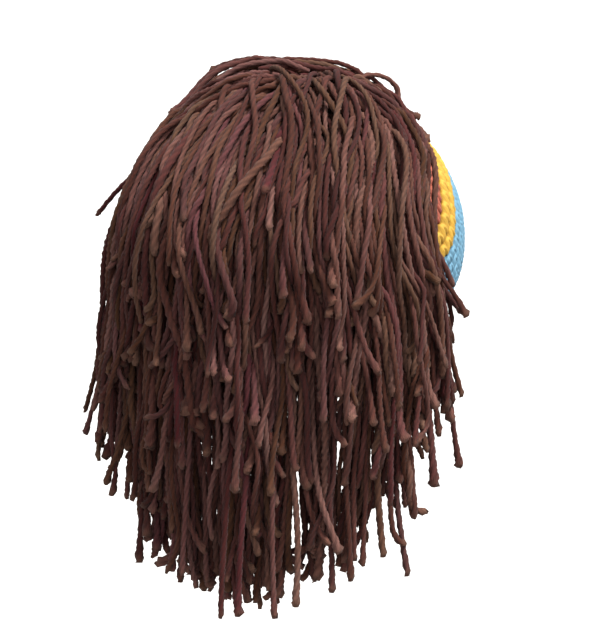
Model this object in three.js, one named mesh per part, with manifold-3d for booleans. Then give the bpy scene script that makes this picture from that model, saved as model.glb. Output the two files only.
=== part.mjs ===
import * as THREE from 'three';
import { mergeVertices } from 'three/addons/utils/BufferGeometryUtils.js';
import Module from 'manifold-3d';

// A crocheted tam: a soft round bag on a ribbed head band, worn tilted back, with rows of yarn
// dreadlocks sewn round the back of its crown. Millimetres and degrees. +Z is up, -Y is the
// wearer's front, and the origin is the middle of the head band's lower edge.

const wasm = await Module();
wasm.setup();

// The bag.
const BAG_HALF_WIDTH = 124;
const BAG_HALF_DEPTH = 128;
const BAG_RISE = 124; // from its widest height to its top
const BAG_DROP = 86; // from its widest height to where it sags lowest, behind the band
const BAG_WALL = 5;
const ROUND_BULGE = 0.8; // how far each colour swells between its two joins

// The head band.
const BAND_HALF_WIDTH = 87;
const BAND_HALF_DEPTH = 101;
const BAND_HEIGHT = 30;
const BAND_WALL = 5;
const BAND_TILT = 13; // its front is raised
const BAND_FORWARD = 16; // its upper edge's middle, ahead of the bag's middle
const BAND_BELOW = 52; // the same, below the bag's widest height
const RIB_COUNT = 36;
const RIB_DEPTH = 1.5;

// The dreadlocks.
const LAYER_THICKNESS = 5.4;
const LAYER_GAP = 2.2;
const HAIR_SEAT = 1.4; // from the bag to the lowest layer
const HAIR_CLEAR = 50; // how far below the bag's widest height the hair hangs clear of it
const HAIR_DROP = 292; // from the bag's widest height to the longest tip
const HAIR_BULK = 35; // from the bag to the outside of the top row
const HAIR_EDGE = 6.5; // the same at the row's two ends
const HAIR_SPREAD = 0.2; // how much wider the rows fan out at the top than where they turn down
const HAIR_FLARE = 0.08; // the same where they hang
const TOP_ANGLE = 24; // from the top to the edge of the top row's round backing
const TOP_HEIGHT = 26; // from the bag to the top of that backing
const BACKING_WIDTH = 14;
const BACKING_INSET = 2; // degrees from the roots to the backing
const BACKING_RISE = 0.7; // how far up the locks' thickness the backing reaches

// Fits.
const CLEARANCE = 0.3;

// How finely things are cut.
const BAG_SEGMENTS = RIB_COUNT; // so that its corners meet the ribs' crests
const CROWN_STEPS = 6;
const NARROW_STEPS = 2;
const BLUE_STEPS = 6;
const ARC_STEP = 32;
const HANGING_STEP = 90;
const TOP_SEGMENTS = 18;
const TOP_LEVELS = 3;
const DIRECTION_STEP = 0.01; // of a round, or of a turn in radians

const BROWN = 0x5d3832;
const DARK_BROWN = 0x4a2c27;
const CORAL = 0xe08a78;
const YELLOW = 0xfcd873;
const BLUE = 0x97c8e6;

const degrees = Math.PI / 180;
const mix = (from, to, share) => from + (to - from) * share;
const clamp = (value) => Math.min(Math.max(value, 0), 1);
const smooth = (value) => clamp(value) ** 2 * (3 - 2 * clamp(value));

// The rounds that shape the bag, from the middle of the crown to the last one above the band.
// Each crosses the bag's middle plane twice: in front (frontY, frontZ) and behind (rearY, rearZ).
// Y is a share of BAG_HALF_DEPTH, Z of BAG_RISE above the widest height and of BAG_DROP below,
// and side, its half width, is a share of BAG_HALF_WIDTH. begins names the piece that starts there.
const ROUNDS = [
  { frontY: 0.576, frontZ: 0.818, rearY: 0.576, rearZ: 0.818, side: 0, begins: 'crown' },
  { frontY: 0.202, frontZ: 0.98, rearY: 0.859, rearZ: 0.512, side: 0.402 },
  { frontY: -0.135, frontZ: 0.991, rearY: 0.995, rearZ: 0.108, side: 0.717 },
  { frontY: -0.442, frontZ: 0.897, rearY: 0.98, rearZ: -0.209, side: 0.875, begins: 'coral_round' },
  { frontY: -0.53, frontZ: 0.848, rearY: 0.945, rearZ: -0.465, side: 0.935, begins: 'yellow_round' },
  { frontY: -0.684, frontZ: 0.731, rearY: 0.891, rearZ: -0.698, side: 0.987, begins: 'blue_round' },
  { frontY: -0.877, frontZ: 0.481, rearY: 0.862, rearZ: -0.825, side: 1 },
  { frontY: -0.99, frontZ: 0.144, rearY: 0.822, rearZ: -0.92, side: 0.955 },
  { frontY: -0.984, frontZ: -0.14, rearY: 0.762, rearZ: -0.945, side: 0.86 },
];
const LAST_ROUND = ROUNDS.length;
const firstRound = (name) => ROUNDS.findIndex((row) => row.begins === name);

// The rows of dreadlocks, from the lowest outwards. root is the angle from the top at which the
// row is sewn on, at the back and at its ends, and span the angle from the back to each end.
// tip is a share of HAIR_DROP, at the back and at the ends, and drift how fast the row draws in
// as it hangs.
const HAIR_ROWS = [
  {
    name: 'dreads_nape_row',
    root: { back: 85, end: 70 },
    span: 54,
    tip: { back: 1, end: 0.85 },
    drift: 0.12,
    locks: 10,
  },
  {
    name: 'dreads_lower_row',
    root: { back: 73, end: 58 },
    span: 61,
    tip: { back: 0.9, end: 0.84 },
    drift: 0.07,
    locks: 12,
  },
  {
    name: 'dreads_middle_row',
    root: { back: 60, end: 46 },
    span: 68,
    tip: { back: 0.71, end: 0.68 },
    drift: 0.03,
    locks: 13,
  },
  {
    name: 'dreads_upper_row',
    root: { back: 42, end: 34 },
    span: 75,
    tip: { back: 0.46, end: 0.62 },
    drift: -0.05,
    locks: 15,
  },
  {
    name: 'dreads_crown_row',
    root: { back: 15, end: 15 },
    span: 81,
    tip: { back: 0.22, end: 0.6 },
    drift: -0.1,
    locks: 16,
  },
];

// Where the hair starts to turn from lying on the bag to hanging and where it hangs, as angles
// from the top.
const TURN_ANGLE = { start: 80, hanging: 120 };

// Where a row starts to lift over the one below it, and where it is over it, in degrees.
const LAP_SIDE = { start: 14, over: 5 };
const LAP_ROOT = { start: 30, over: 12 };

// How a lock is cut along its length: each share of the length, the half width as a share of the
// locks' pitch and the share of the layer's thickness.
const LOCK_SHAPE = [
  { along: 0, width: 0.44, thick: 0.8 },
  { along: 0.15, width: 0.47, thick: 1 },
  { along: 0.7, width: 0.42, thick: 1 },
  { along: 0.9, width: 0.36, thick: 0.9 },
  { along: 1, width: 0.26, thick: 0.6 },
];
// A lock's section: across in half widths and up in thicknesses.
const LOCK_SECTION = [
  { across: -1, up: 0.3 },
  { across: -0.55, up: 1 },
  { across: 0.55, up: 1 },
  { across: 1, up: 0.3 },
  { across: 0, up: 0 },
];
// How much longer or shorter than its row each lock in turn is.
const LOCK_LENGTHS = [0, -0.05, 0.03, -0.02, 0.04, -0.07, 0.01];
const LOCK_SWAY = 0.16; // of the pitch, at the tip
const SWAY_TURN = 2.4; // how far the sway's wave moves on from one lock to the next, in radians
const SWAY_BEND = 3; // and along a lock

// Reads a column of a table of rows at a share of the way along them.
function readTable(table, column, along) {
  let i = 0;
  while (i < table.length - 2 && table[i + 1].along < along) {
    i += 1;
  }
  const share = (along - table[i].along) / (table[i + 1].along - table[i].along);
  return mix(table[i][column], table[i + 1][column], clamp(share));
}

// Joins rings of points into a closed skin. The rings close into a loop, or end in two points.
function skin(rings, ends) {
  const positions = [];
  const face = (a, b, c) => positions.push(...a.toArray(), ...b.toArray(), ...c.toArray());
  const count = rings[0].length;
  const spans = ends ? rings.length - 1 : rings.length;
  for (let i = 0; i < spans; i += 1) {
    const near = rings[i];
    const far = rings[(i + 1) % rings.length];
    for (let j = 0; j < count; j += 1) {
      const k = (j + 1) % count;
      face(near[j], far[k], far[j]);
      face(near[j], near[k], far[k]);
    }
  }
  if (ends) {
    const last = rings[rings.length - 1];
    for (let j = 0; j < count; j += 1) {
      const k = (j + 1) % count;
      face(ends[0], rings[0][k], rings[0][j]);
      face(ends[1], last[j], last[k]);
    }
  }
  const geometry = new THREE.BufferGeometry();
  geometry.setAttribute('position', new THREE.Float32BufferAttribute(positions, 3));
  return geometry;
}

function toSolid(geometry) {
  const merged = mergeVertices(geometry, 1e-3);
  return new wasm.Manifold(
    new wasm.Mesh({
      numProp: 3,
      vertProperties: merged.attributes.position.array,
      triVerts: new Uint32Array(merged.index.array),
    }),
  );
}

// Fuses closed skins into one body.
function fuse(geometries) {
  let solid = toSolid(geometries[0]);
  for (const geometry of geometries.slice(1)) {
    solid = solid.add(toSolid(geometry));
  }
  const mesh = solid.getMesh();
  const geometry = new THREE.BufferGeometry();
  geometry.setAttribute('position', new THREE.BufferAttribute(mesh.vertProperties, 3));
  geometry.setIndex(new THREE.BufferAttribute(mesh.triVerts, 1));
  return geometry;
}

// The head band's frame: its upper edge's middle, from the bag's middle, and its own axis.
const bandTop = new THREE.Vector3(0, -BAND_FORWARD, -BAND_BELOW);
const bandAxis = new THREE.Vector3(0, Math.sin(BAND_TILT * degrees), Math.cos(BAND_TILT * degrees));
const bandRear = new THREE.Vector3(0, Math.cos(BAND_TILT * degrees), -Math.sin(BAND_TILT * degrees));
const bandSide = new THREE.Vector3(1, 0, 0);
// The bag's middle, from the middle of the band's lower edge.
const bagMiddle = bandTop.clone().addScaledVector(bandAxis, -BAND_HEIGHT).negate();

// A point of an oval round the band's axis, at a height over its upper edge.
function bandPoint(turn, inset, height) {
  return bandTop
    .clone()
    .addScaledVector(bandRear, (BAND_HALF_DEPTH - inset) * Math.cos(turn))
    .addScaledVector(bandSide, (BAND_HALF_WIDTH - inset) * Math.sin(turn))
    .addScaledVector(bandAxis, height);
}

// The bag's rounds as lengths: the front and rear points and the half width. The last one meets
// the band, and the one before the first mirrors the second, so that the crown's middle is smooth.
function roundSizes(index) {
  if (index < 0) {
    const across = roundSizes(-index);
    return { front: across.rear, rear: across.front, side: -across.side };
  }
  if (index > LAST_ROUND) {
    const last = roundSizes(LAST_ROUND);
    const before = roundSizes(LAST_ROUND - 1);
    return {
      front: last.front.clone().multiplyScalar(2).sub(before.front),
      rear: last.rear.clone().multiplyScalar(2).sub(before.rear),
      side: 2 * last.side - before.side,
    };
  }
  if (index === LAST_ROUND) {
    return {
      front: bandPoint(Math.PI, 0, CLEARANCE),
      rear: bandPoint(0, 0, CLEARANCE),
      side: BAND_HALF_WIDTH,
    };
  }
  const row = ROUNDS[index];
  const up = (share) => share * (share > 0 ? BAG_RISE : BAG_DROP);
  return {
    front: new THREE.Vector3(0, row.frontY * BAG_HALF_DEPTH, up(row.frontZ)),
    rear: new THREE.Vector3(0, row.rearY * BAG_HALF_DEPTH, up(row.rearZ)),
    side: row.side * BAG_HALF_WIDTH,
  };
}

// A smooth curve through four values, between the middle two.
function curve(a, b, c, d, t) {
  return b + 0.5 * t * (c - a + t * (2 * a - 5 * b + 4 * c - d + t * (3 * (b - c) + d - a)));
}

// A point of the bag's outside: a round, which may lie between two of the table, and a turn from
// the rear.
function bagPoint(round, turn) {
  const index = Math.min(Math.floor(round), LAST_ROUND - 1);
  const t = round - index;
  const [a, b, c, d] = [index - 1, index, index + 1, index + 2].map(roundSizes);
  const along = (key, axis) => curve(a[key][axis], b[key][axis], c[key][axis], d[key][axis], t);
  const front = new THREE.Vector3(0, along('front', 'y'), along('front', 'z'));
  const rear = new THREE.Vector3(0, along('rear', 'y'), along('rear', 'z'));
  const side = curve(a.side, b.side, c.side, d.side, t);
  return front
    .clone()
    .add(rear)
    .multiplyScalar(0.5)
    .addScaledVector(rear.sub(front), 0.5 * Math.cos(turn))
    .addScaledVector(bandSide, side * Math.sin(turn));
}

// The bag's directions at a point: across its rounds towards the band, and outwards.
function bagDirections(round, turn) {
  const step = DIRECTION_STEP;
  const from = Math.max(round - step, 0.5 * step);
  const down = bagPoint(from + 2 * step, turn).sub(bagPoint(from, turn)).normalize();
  const about = bagPoint(from + step, turn + step).sub(bagPoint(from + step, turn - step));
  return { down, out: about.cross(down).normalize() };
}

// One ring of the bag, on its outside or inside. shift moves it across the rounds and swell
// lifts it.
function bagRing(round, shift, swell, inside) {
  const ring = [];
  for (let j = 0; j < BAG_SEGMENTS; j += 1) {
    const turn = (2 * Math.PI * j) / BAG_SEGMENTS;
    const { down, out } = bagDirections(round, turn);
    if (round === LAST_ROUND) {
      ring.push(bandPoint(turn, inside ? BAG_WALL : 0, CLEARANCE));
    } else {
      const lift = inside ? -BAG_WALL : swell;
      ring.push(bagPoint(round, turn).addScaledVector(down, shift).addScaledVector(out, lift));
    }
  }
  return ring;
}

// The part of the bag from one round to another, cut into a number of steps.
function bagPart(first, last, steps) {
  const cut = (count, inside) => {
    const rings = [];
    for (let i = first === 0 ? 1 : 0; i <= count; i += 1) {
      const share = i / count;
      const swell = first === 0 ? 0 : ROUND_BULGE * Math.sin(Math.PI * share);
      const shift = CLEARANCE * ((i === 0 ? 0.5 : 0) - (i === count ? 0.5 : 0));
      rings.push(bagRing(mix(first, last, share), shift, swell, inside));
    }
    return rings;
  };
  const rings = [...cut(steps, false), ...cut(Math.ceil(steps / 2), true).reverse()];
  if (first > 0) {
    return skin(rings);
  }
  const top = bagPoint(0, 0);
  const { out } = bagDirections(0, 0);
  return skin(rings, [top, top.clone().addScaledVector(out, -BAG_WALL)]);
}

// The ribbed band.
function headBand() {
  const outline = (inset, height, ribbed) => {
    const ring = [];
    for (let j = 0; j < 2 * RIB_COUNT; j += 1) {
      const valley = ribbed && j % 2 === 1 ? RIB_DEPTH : 0;
      ring.push(bandPoint((Math.PI * j) / RIB_COUNT, inset + valley, height));
    }
    return ring;
  };
  return skin([
    outline(0, 0, true),
    outline(0, -BAND_HEIGHT, true),
    outline(BAND_WALL, -BAND_HEIGHT, false),
    outline(BAND_WALL, 0, false),
  ]);
}

// How much a row spreads sideways at an angle from the top.
function hairSpread(fall) {
  const { start, hanging } = TURN_ANGLE;
  const over = 1 - smooth(fall / start);
  const below = smooth((fall - start) / (hanging - start));
  return 1 + HAIR_SPREAD * over + HAIR_FLARE * below;
}

// A point over the bag's outside: around is the angle from the back, fall the angle from the top
// (past 90 it hangs straight down, as far as the same arc is long), lift the distance from the bag.
function hairPoint(around, fall, lift, drift) {
  const azimuth = around * hairSpread(fall) * degrees;
  const polar = Math.min(fall, 90) * degrees;
  const ray = new THREE.Vector3(
    Math.sin(polar) * Math.sin(azimuth),
    Math.sin(polar) * Math.cos(azimuth),
    Math.cos(polar),
  );
  const shape = new THREE.Vector3(1 / BAG_HALF_WIDTH, 1 / BAG_HALF_DEPTH, 1 / BAG_RISE);
  const base = ray.clone().divideScalar(ray.clone().multiply(shape).length());
  const out = base.clone().multiply(shape).multiply(shape).normalize();
  const hang = fallLength(Math.max(fall - 90, 0));
  base.addScaledVector(out, lift - drift * Math.max(hang - HAIR_CLEAR, 0));
  base.z -= hang;
  return base;
}

// The length of an arc of the bag's meridian, in either direction.
const fallLength = (fall) => fall * degrees * BAG_HALF_DEPTH;
const fallAngle = (length) => length / degrees / BAG_HALF_DEPTH;

// A row's root angle or tip share at an angle from the back.
const atPlace = (row, key, around) =>
  mix(row[key].back, row[key].end, smooth(Math.abs(around) / row.span));
const rootFall = (row, around) => atPlace(row, 'root', around);

// How far a row's underside lies from the bag: over each row below it that is there.
function layerFloor(index, around, fall) {
  let floor = HAIR_SEAT;
  for (const row of HAIR_ROWS.slice(0, index)) {
    const sideways = row.span + LAP_SIDE.start - Math.abs(around);
    const downwards = fall - rootFall(row, around) + LAP_ROOT.start;
    const overSide = smooth(sideways / (LAP_SIDE.start - LAP_SIDE.over));
    const overRoot = smooth(downwards / (LAP_ROOT.start - LAP_ROOT.over));
    floor += (LAYER_THICKNESS + LAYER_GAP) * overSide * overRoot;
  }
  return floor;
}

// A row's thickness. The top row fills what is left of the hair's bulk.
function layerThickness(index, around, fall) {
  if (index < HAIR_ROWS.length - 1) {
    return LAYER_THICKNESS;
  }
  const edge = smooth((HAIR_ROWS[index].span - Math.abs(around)) / (2 * LAP_SIDE.start));
  const outside = mix(HAIR_EDGE, HAIR_BULK, edge);
  return Math.max(outside - layerFloor(index, around, fall), LAYER_THICKNESS);
}

// One lock of a row: a flat tapered finger that follows the bag and hangs from its widest height.
function lock(index, turn) {
  const row = HAIR_ROWS[index];
  const pitch = (2 * row.span) / row.locks;
  const around = -row.span + pitch * (turn + 0.5);
  const root = rootFall(row, around);
  const tipShare = atPlace(row, 'tip', around) * (1 + LOCK_LENGTHS[turn % LOCK_LENGTHS.length]);
  const tipDrop = HAIR_DROP * tipShare;
  const tip = 90 + fallAngle(tipDrop);
  const knee = Math.max(root, 90);
  const over = Math.ceil(fallLength(knee - root) / ARC_STEP);
  const hanging = Math.max(Math.ceil(tipDrop / HANGING_STEP), 2);
  const rings = [];
  const middles = [];
  for (let i = 0; i <= over + hanging; i += 1) {
    const fall = i < over ? mix(root, knee, i / over) : mix(knee, tip, (i - over) / hanging);
    const along = (fall - root) / (tip - root);
    const half = readTable(LOCK_SHAPE, 'width', along) * pitch;
    const share = readTable(LOCK_SHAPE, 'thick', along);
    const sway = LOCK_SWAY * pitch * along * Math.sin(SWAY_TURN * turn + SWAY_BEND * along);
    const place = (across, up) => {
      const at = around + sway + across * half;
      const thickness = layerThickness(index, at, fall) * share;
      return hairPoint(at, fall, layerFloor(index, at, fall) + up * thickness, row.drift);
    };
    rings.push(LOCK_SECTION.map(({ across, up }) => place(across, up)));
    middles.push(place(0, 0.5));
  }
  return skin(rings, [middles[0], middles[middles.length - 1]]);
}

// The strip that a row is sewn to, which holds its roots on the bag.
function backing(index) {
  const row = HAIR_ROWS[index];
  const rings = [];
  const middles = [];
  for (let i = 0; i <= row.locks; i += 1) {
    const around = mix(-row.span, row.span, i / row.locks) * (1 - 0.5 / row.locks);
    const start = rootFall(row, around) + BACKING_INSET;
    const end = start + fallAngle(BACKING_WIDTH);
    const low = (fall) => hairPoint(around, fall, HAIR_SEAT, row.drift);
    const high = (fall) => {
      const lift = layerFloor(index, around, fall) + BACKING_RISE * LAYER_THICKNESS;
      return hairPoint(around, fall, lift, row.drift);
    };
    rings.push([low(start), low(end), high(end), high(start)]);
    middles.push(low(start).add(high(end)).multiplyScalar(0.5));
  }
  return skin(rings, [middles[0], middles[middles.length - 1]]);
}

// The top row's round backing, domed over the top of the bag.
function topBacking() {
  const rings = [];
  const ringAt = (fall, lift) => {
    const ring = [];
    for (let j = 0; j < TOP_SEGMENTS; j += 1) {
      // hairPoint spreads the angles; this takes the spread off again.
      const around = (360 * j) / TOP_SEGMENTS / hairSpread(fall);
      ring.push(hairPoint(around, fall, lift, 0));
    }
    return ring;
  };
  for (let i = 1; i <= TOP_LEVELS; i += 1) {
    const share = i / TOP_LEVELS;
    rings.push(ringAt(TOP_ANGLE * share, mix(TOP_HEIGHT, HAIR_EDGE, share ** 3)));
  }
  for (let i = TOP_LEVELS; i >= 1; i -= 1) {
    rings.push(ringAt((TOP_ANGLE * i) / TOP_LEVELS, HAIR_SEAT));
  }
  return skin(rings, [hairPoint(0, 0, TOP_HEIGHT, 0), hairPoint(0, 0, HAIR_SEAT, 0)]);
}

function hairRow(index) {
  const isTop = index === HAIR_ROWS.length - 1;
  const pieces = [isTop ? topBacking() : backing(index)];
  for (let turn = 0; turn < HAIR_ROWS[index].locks; turn += 1) {
    pieces.push(lock(index, turn));
  }
  return fuse(pieces);
}

const tam = new THREE.Group();
tam.position.copy(bagMiddle);

function addMesh(name, geometry, colour) {
  geometry.computeVertexNormals();
  const material = new THREE.MeshStandardMaterial({ color: colour, roughness: 0.95, metalness: 0 });
  const mesh = new THREE.Mesh(geometry, material);
  mesh.name = name;
  tam.add(mesh);
}

const coralRound = firstRound('coral_round');
const yellowRound = firstRound('yellow_round');
const blueRound = firstRound('blue_round');
addMesh('crown', bagPart(0, coralRound, CROWN_STEPS), BROWN);
addMesh('coral_round', bagPart(coralRound, yellowRound, NARROW_STEPS), CORAL);
addMesh('yellow_round', bagPart(yellowRound, blueRound, NARROW_STEPS), YELLOW);
addMesh('blue_round', bagPart(blueRound, LAST_ROUND, BLUE_STEPS), BLUE);
addMesh('head_band', headBand(), DARK_BROWN);
HAIR_ROWS.forEach((row, index) => addMesh(row.name, hairRow(index), BROWN));

const hat = new THREE.Group();
hat.add(tam);

export default hat;
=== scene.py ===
"""A crocheted tam with rows of yarn dreadlocks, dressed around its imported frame."""

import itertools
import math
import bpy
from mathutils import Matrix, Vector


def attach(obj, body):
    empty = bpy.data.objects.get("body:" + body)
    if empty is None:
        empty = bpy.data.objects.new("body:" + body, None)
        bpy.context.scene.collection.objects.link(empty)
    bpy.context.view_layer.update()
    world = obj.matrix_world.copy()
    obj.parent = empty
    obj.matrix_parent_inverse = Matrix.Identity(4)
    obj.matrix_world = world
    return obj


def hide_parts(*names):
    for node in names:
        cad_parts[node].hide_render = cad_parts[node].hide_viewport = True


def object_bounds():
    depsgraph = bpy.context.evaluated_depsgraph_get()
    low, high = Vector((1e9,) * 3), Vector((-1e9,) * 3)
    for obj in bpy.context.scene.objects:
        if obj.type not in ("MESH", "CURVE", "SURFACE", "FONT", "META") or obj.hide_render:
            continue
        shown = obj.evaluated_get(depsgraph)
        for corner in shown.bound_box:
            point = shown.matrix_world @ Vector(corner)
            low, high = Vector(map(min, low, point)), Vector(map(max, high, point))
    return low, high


bl_info = {
    "name": "Tam with yarn dreadlocks",
    "version": (1, 0, 0),
    "blender": (4, 5, 0),
    "location": "View3D > Sidebar > Tam",
    "description": "Builds the crocheted rounds, the ribbed head band, the dreadlocks and the stage",
    "category": "Object",
}

import bpy
import numpy as np
from mathutils import Vector

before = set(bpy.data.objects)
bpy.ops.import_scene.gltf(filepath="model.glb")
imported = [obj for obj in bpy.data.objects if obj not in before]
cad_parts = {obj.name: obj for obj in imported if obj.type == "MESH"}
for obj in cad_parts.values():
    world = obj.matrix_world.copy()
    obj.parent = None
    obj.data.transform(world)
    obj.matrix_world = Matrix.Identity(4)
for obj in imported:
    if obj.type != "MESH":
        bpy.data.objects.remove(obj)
CAD_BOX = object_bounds()

# The rounds that shape the bag, from the middle of the crown to the last one above the band.
# front_y and front_z, rear_y and rear_z are where a round crosses the bag's middle plane: Y as a
# share of the half depth, Z of the rise above the widest height or of the drop below. side is
# its half width as a share of the bag's.
ROUND_COLUMNS = ("front_y", "front_z", "rear_y", "rear_z", "side")
ROUNDS = (
    (0.576, 0.818, 0.576, 0.818, 0.0),
    (0.202, 0.98, 0.859, 0.512, 0.402),
    (-0.135, 0.991, 0.995, 0.108, 0.717),
    (-0.442, 0.897, 0.98, -0.209, 0.875),
    (-0.53, 0.848, 0.945, -0.465, 0.935),
    (-0.684, 0.731, 0.891, -0.698, 0.987),
    (-0.877, 0.481, 0.862, -0.825, 1.0),
    (-0.99, 0.144, 0.822, -0.92, 0.955),
    (-0.984, -0.14, 0.762, -0.945, 0.86),
)
LAST_ROUND = len(ROUNDS)

# The crocheted pieces: the rounds between which each lies, its rows of stitches and the rings of
# points in a row.
CROCHET_COLUMNS = ("node", "colour", "slot", "first", "last", "rows", "samples")
CROCHET = (
    ("crown", "brown", "crown_yarn", 0, 3, 12, 5),
    ("coral_round", "coral", "coral_yarn", 3, 4, 1, 18),
    ("yellow_round", "yellow", "yellow_yarn", 4, 5, 2, 14),
    ("blue_round", "blue", "blue_yarn", 5, LAST_ROUND, 10, 11),
)

# How many points a ring has, how far from its middle the crown starts, in rounds, the turn of
# the bag's front corner, where the rows are even, and in how many rounds the last one draws in
# to the band.
ROUND_POINTS = 720
CROWN_POINTS = 480
CROWN_START = 0.02
FRONT_CORNER = 0.72 * math.pi
SEAT_ROUNDS = 0.6

# How far the bag's rounds dip at its two sides, over how many degrees each way, and over how
# many rounds the dip fades towards the middle and the band.
SIDE_DIP = 0.76
SIDE_DIP_WIDTH = 18.0
SIDE_DIP_FADE = 3.0

# Where the yarn's colour changes, the stitches of one round reach into the next: the rounds, how
# far they reach, how far off that ends, in rounds, and the arches' mean height.
SCALLOPED = (3.0, 4.0, 5.0)
SCALLOP = 0.12
SCALLOP_WIDTH = 0.3
SCALLOP_MEAN = 0.6

# One crochet stitch, in shares of its width: how far its legs lie from its middle at the start
# of the row and how much further at the end, and the half widths of a leg and of the bar between
# two stitches. Then the bar's height, how sharply the legs end, the height that lies on the
# bag's surface, and the height that the inner walls are given, which sets their painted shade.
LEG_CLOSE, LEG_OPEN, LEG_WIDTH = 0.1, 0.24, 0.17
BAR_WIDTH, BAR_HEIGHT = 0.16, 0.45
ROW_END = 0.45
STITCH_MEAN = 0.62
INNER_CREST = 0.6

# A row's fewest stitches, how far each row is turned against the one before, in stitches, and
# the length of a row in metres from which its stitches have their full relief.
FEWEST_STITCHES = 6
ROW_SHIFT = 0.37
FULL_RELIEF_ROUND = 0.12

# The band: the points round one rib and the rings up the band, and in shares of a rib's room its
# half width and its knit columns' half width. Then how far the knit stitches slope and how round
# they are, the purl stitches to each knit one and their height, and the height of a rib without
# its stitches.
RIB_POINTS, BAND_RINGS = 18, 41
RIB_WIDTH, KNIT_WIDTH = 0.43, 0.17
KNIT_SLOPE, KNIT_ROUND = 0.45, 0.7
PURL_ROWS, PURL_HEIGHT = 1.5, 0.25
RIB_PLAIN = 0.55

# The share of the band's height that an edge is rounded over and how deep in metres, and how far
# the inside waves.
BAND_EDGE, BAND_EDGE_DEPTH = 0.08, 0.0012
BAND_INSIDE_WAVE = 0.0006

# The rows of dreadlocks, from the lowest outwards: where each is sewn on, in degrees from the
# top, at the back and at its ends; its span, in degrees from the back; where its tips are, as a
# share of the longest one's drop; how fast it draws in as it hangs; how much its tips vary, as a
# share of that drop; and how many strands it has.
LOCK_COLUMNS = (
    "name", "root_back", "root_end", "span", "tip_back", "tip_end", "drift", "vary", "strands"
)
LOCKS = (
    ("nape", 85.0, 70.0, 54.0, 0.93, 0.87, 0.12, 0.24, 76),
    ("lower", 73.0, 58.0, 61.0, 0.81, 0.78, 0.07, 0.34, 86),
    ("middle", 60.0, 46.0, 68.0, 0.62, 0.58, 0.03, 0.5, 92),
    ("upper", 42.0, 34.0, 74.0, 0.38, 0.44, -0.05, 0.64, 100),
    ("crown", 15.0, 15.0, 77.0, 0.14, 0.36, -0.1, 0.66, 144),
)
LOCK_ROWS = [dict(zip(LOCK_COLUMNS, values)) for values in LOCKS]
TOP_ROW = len(LOCKS) - 1

# How much the rows spread sideways at an angle from the top, so that their ends leave a strip
# of the coloured rounds bare.
SPREAD = (
    (0.0, 1.25), (30.0, 1.22), (50.0, 1.17), (56.0, 1.1), (64.0, 1.03), (71.0, 0.98),
    (78.0, 0.965), (86.0, 0.97), (95.0, 1.02), (104.0, 1.08), (130.0, 1.12),
)

# The hair's edge in front: by angle from the top, the azimuth that no strand settles past.
EDGE = (
    (40.0, 180.0), (51.0, 89.0), (62.0, 82.0), (74.0, 78.0), (80.0, 79.0), (87.0, 80.5),
    (97.0, 84.0), (113.0, 88.0), (126.0, 100.0), (140.0, 120.0), (150.0, 180.0),
)

# Where the top row's outside lies at an angle from the top, as a share of the hair's bulk, and
# in how many degrees from the row's ends the bulk grows.
TOP_OUTSIDE = (
    (0.0, 0.72), (16.0, 0.84), (30.0, 0.94), (46.0, 0.72), (60.0, 0.7), (80.0, 0.84), (100.0, 1.0),
)
EDGE_WIDTH = 28.0

# A lower row lifts the rows above it: how far past its ends, in degrees, and how far above where
# it is sewn on, in degrees from the top, that starts and is full; and between which angles from
# the top a layer grows from half to its full thickness.
LAP_SIDE = (4.0, -3.0)
LAP_ROOT = (30.0, 12.0)
FULL_LAYER = (50.0, 90.0)

# In metres: how far a strand hangs before it drifts inwards, how far from the bag the first
# layer starts, the gap between two layers, how far off the bag a strand is sewn on, and in what
# length it rises to its place.
HANG_CLEAR = 0.05
FLOOR_GAP = 0.0012
LAYER_GAP = 0.0005
ROOT_LIFT = 0.0025
RISE_LENGTH = 0.03

# In radii: how far a strand's middle lies in its layer, and the top row's thinnest layer.
NEST = 0.8
THINNEST_LAYER = 2.2

# On the right many strands are cut short: the share of them, by azimuth the drop that is left,
# as a share of the longest one's, and how much that varies.
CUT_SHARE = 0.87
CUT = (
    (-77.0, 0.14), (-70.0, 0.24), (-62.0, 0.4), (-54.0, 0.46), (-24.0, 1.0),
)
CUT_RANGE = (0.84, 1.12)

# The drop of the longest strands by the azimuth of their tips, as a share of the longest one's,
# and how much that varies.
LONGEST = (
    (-77.0, 0.4), (-54.0, 0.7), (-38.0, 0.84), (-22.0, 0.94), (-10.0, 0.98), (0.0, 0.97),
    (7.0, 0.93), (19.0, 0.92), (27.0, 0.92), (35.0, 0.9), (42.0, 0.88), (52.0, 0.82), (77.0, 0.64),
)
LONGEST_RANGE = (0.93, 1.0)

# Neighbouring strands hang in tufts: how many there are in one, how far it leans aside and a
# strand of it leans by itself, in degrees at the tip, and how late along the strand; how far and
# by what share of their length the strands draw together; and how much of a strand's length and
# height is its own and not its tuft's.
TUFT_STRANDS = 5
TUFT_LEAN = 4.8
STRAND_LEAN = 2.4
LEAN_POWER = 1.5
TUFT_GATHER = 0.7
GATHERED = 0.6
OWN_SHARE = 0.3

# In degrees: how far above and below its row a strand is sewn on, and how far past the row's
# ends it may lean.
ROOT_SCATTER = (-2.0, 9.0)
PAST_SPAN = 1.5

# How much the short strands of a row lie over its long ones, from not at all to sorted by
# length, between which angles from the top that starts and is full, and how strongly the heights
# in a layer favour its inside.
SHORT_ABOVE = 0.6
SORTED_PAST = (45.0, 80.0)
HEIGHT_POWER = 1.4

# The top row starts in a whorl behind the top, as a plan in degrees from the top; past the join
# the strands follow the bag. How far they turn and swing there, in radians, is drawn at random.
# The row is lifted like a dome, in metres, which ends at the dome's angle.
WHORL_BACK = 7.0
WHORL_RADIUS = 15.0
WHORL_SCATTER = 1.1
WHORL_SWING = 0.22
JOIN_ANGLE = 50.0
DOME_LIFT = 0.032
DOME_ANGLE = 34.0

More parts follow.
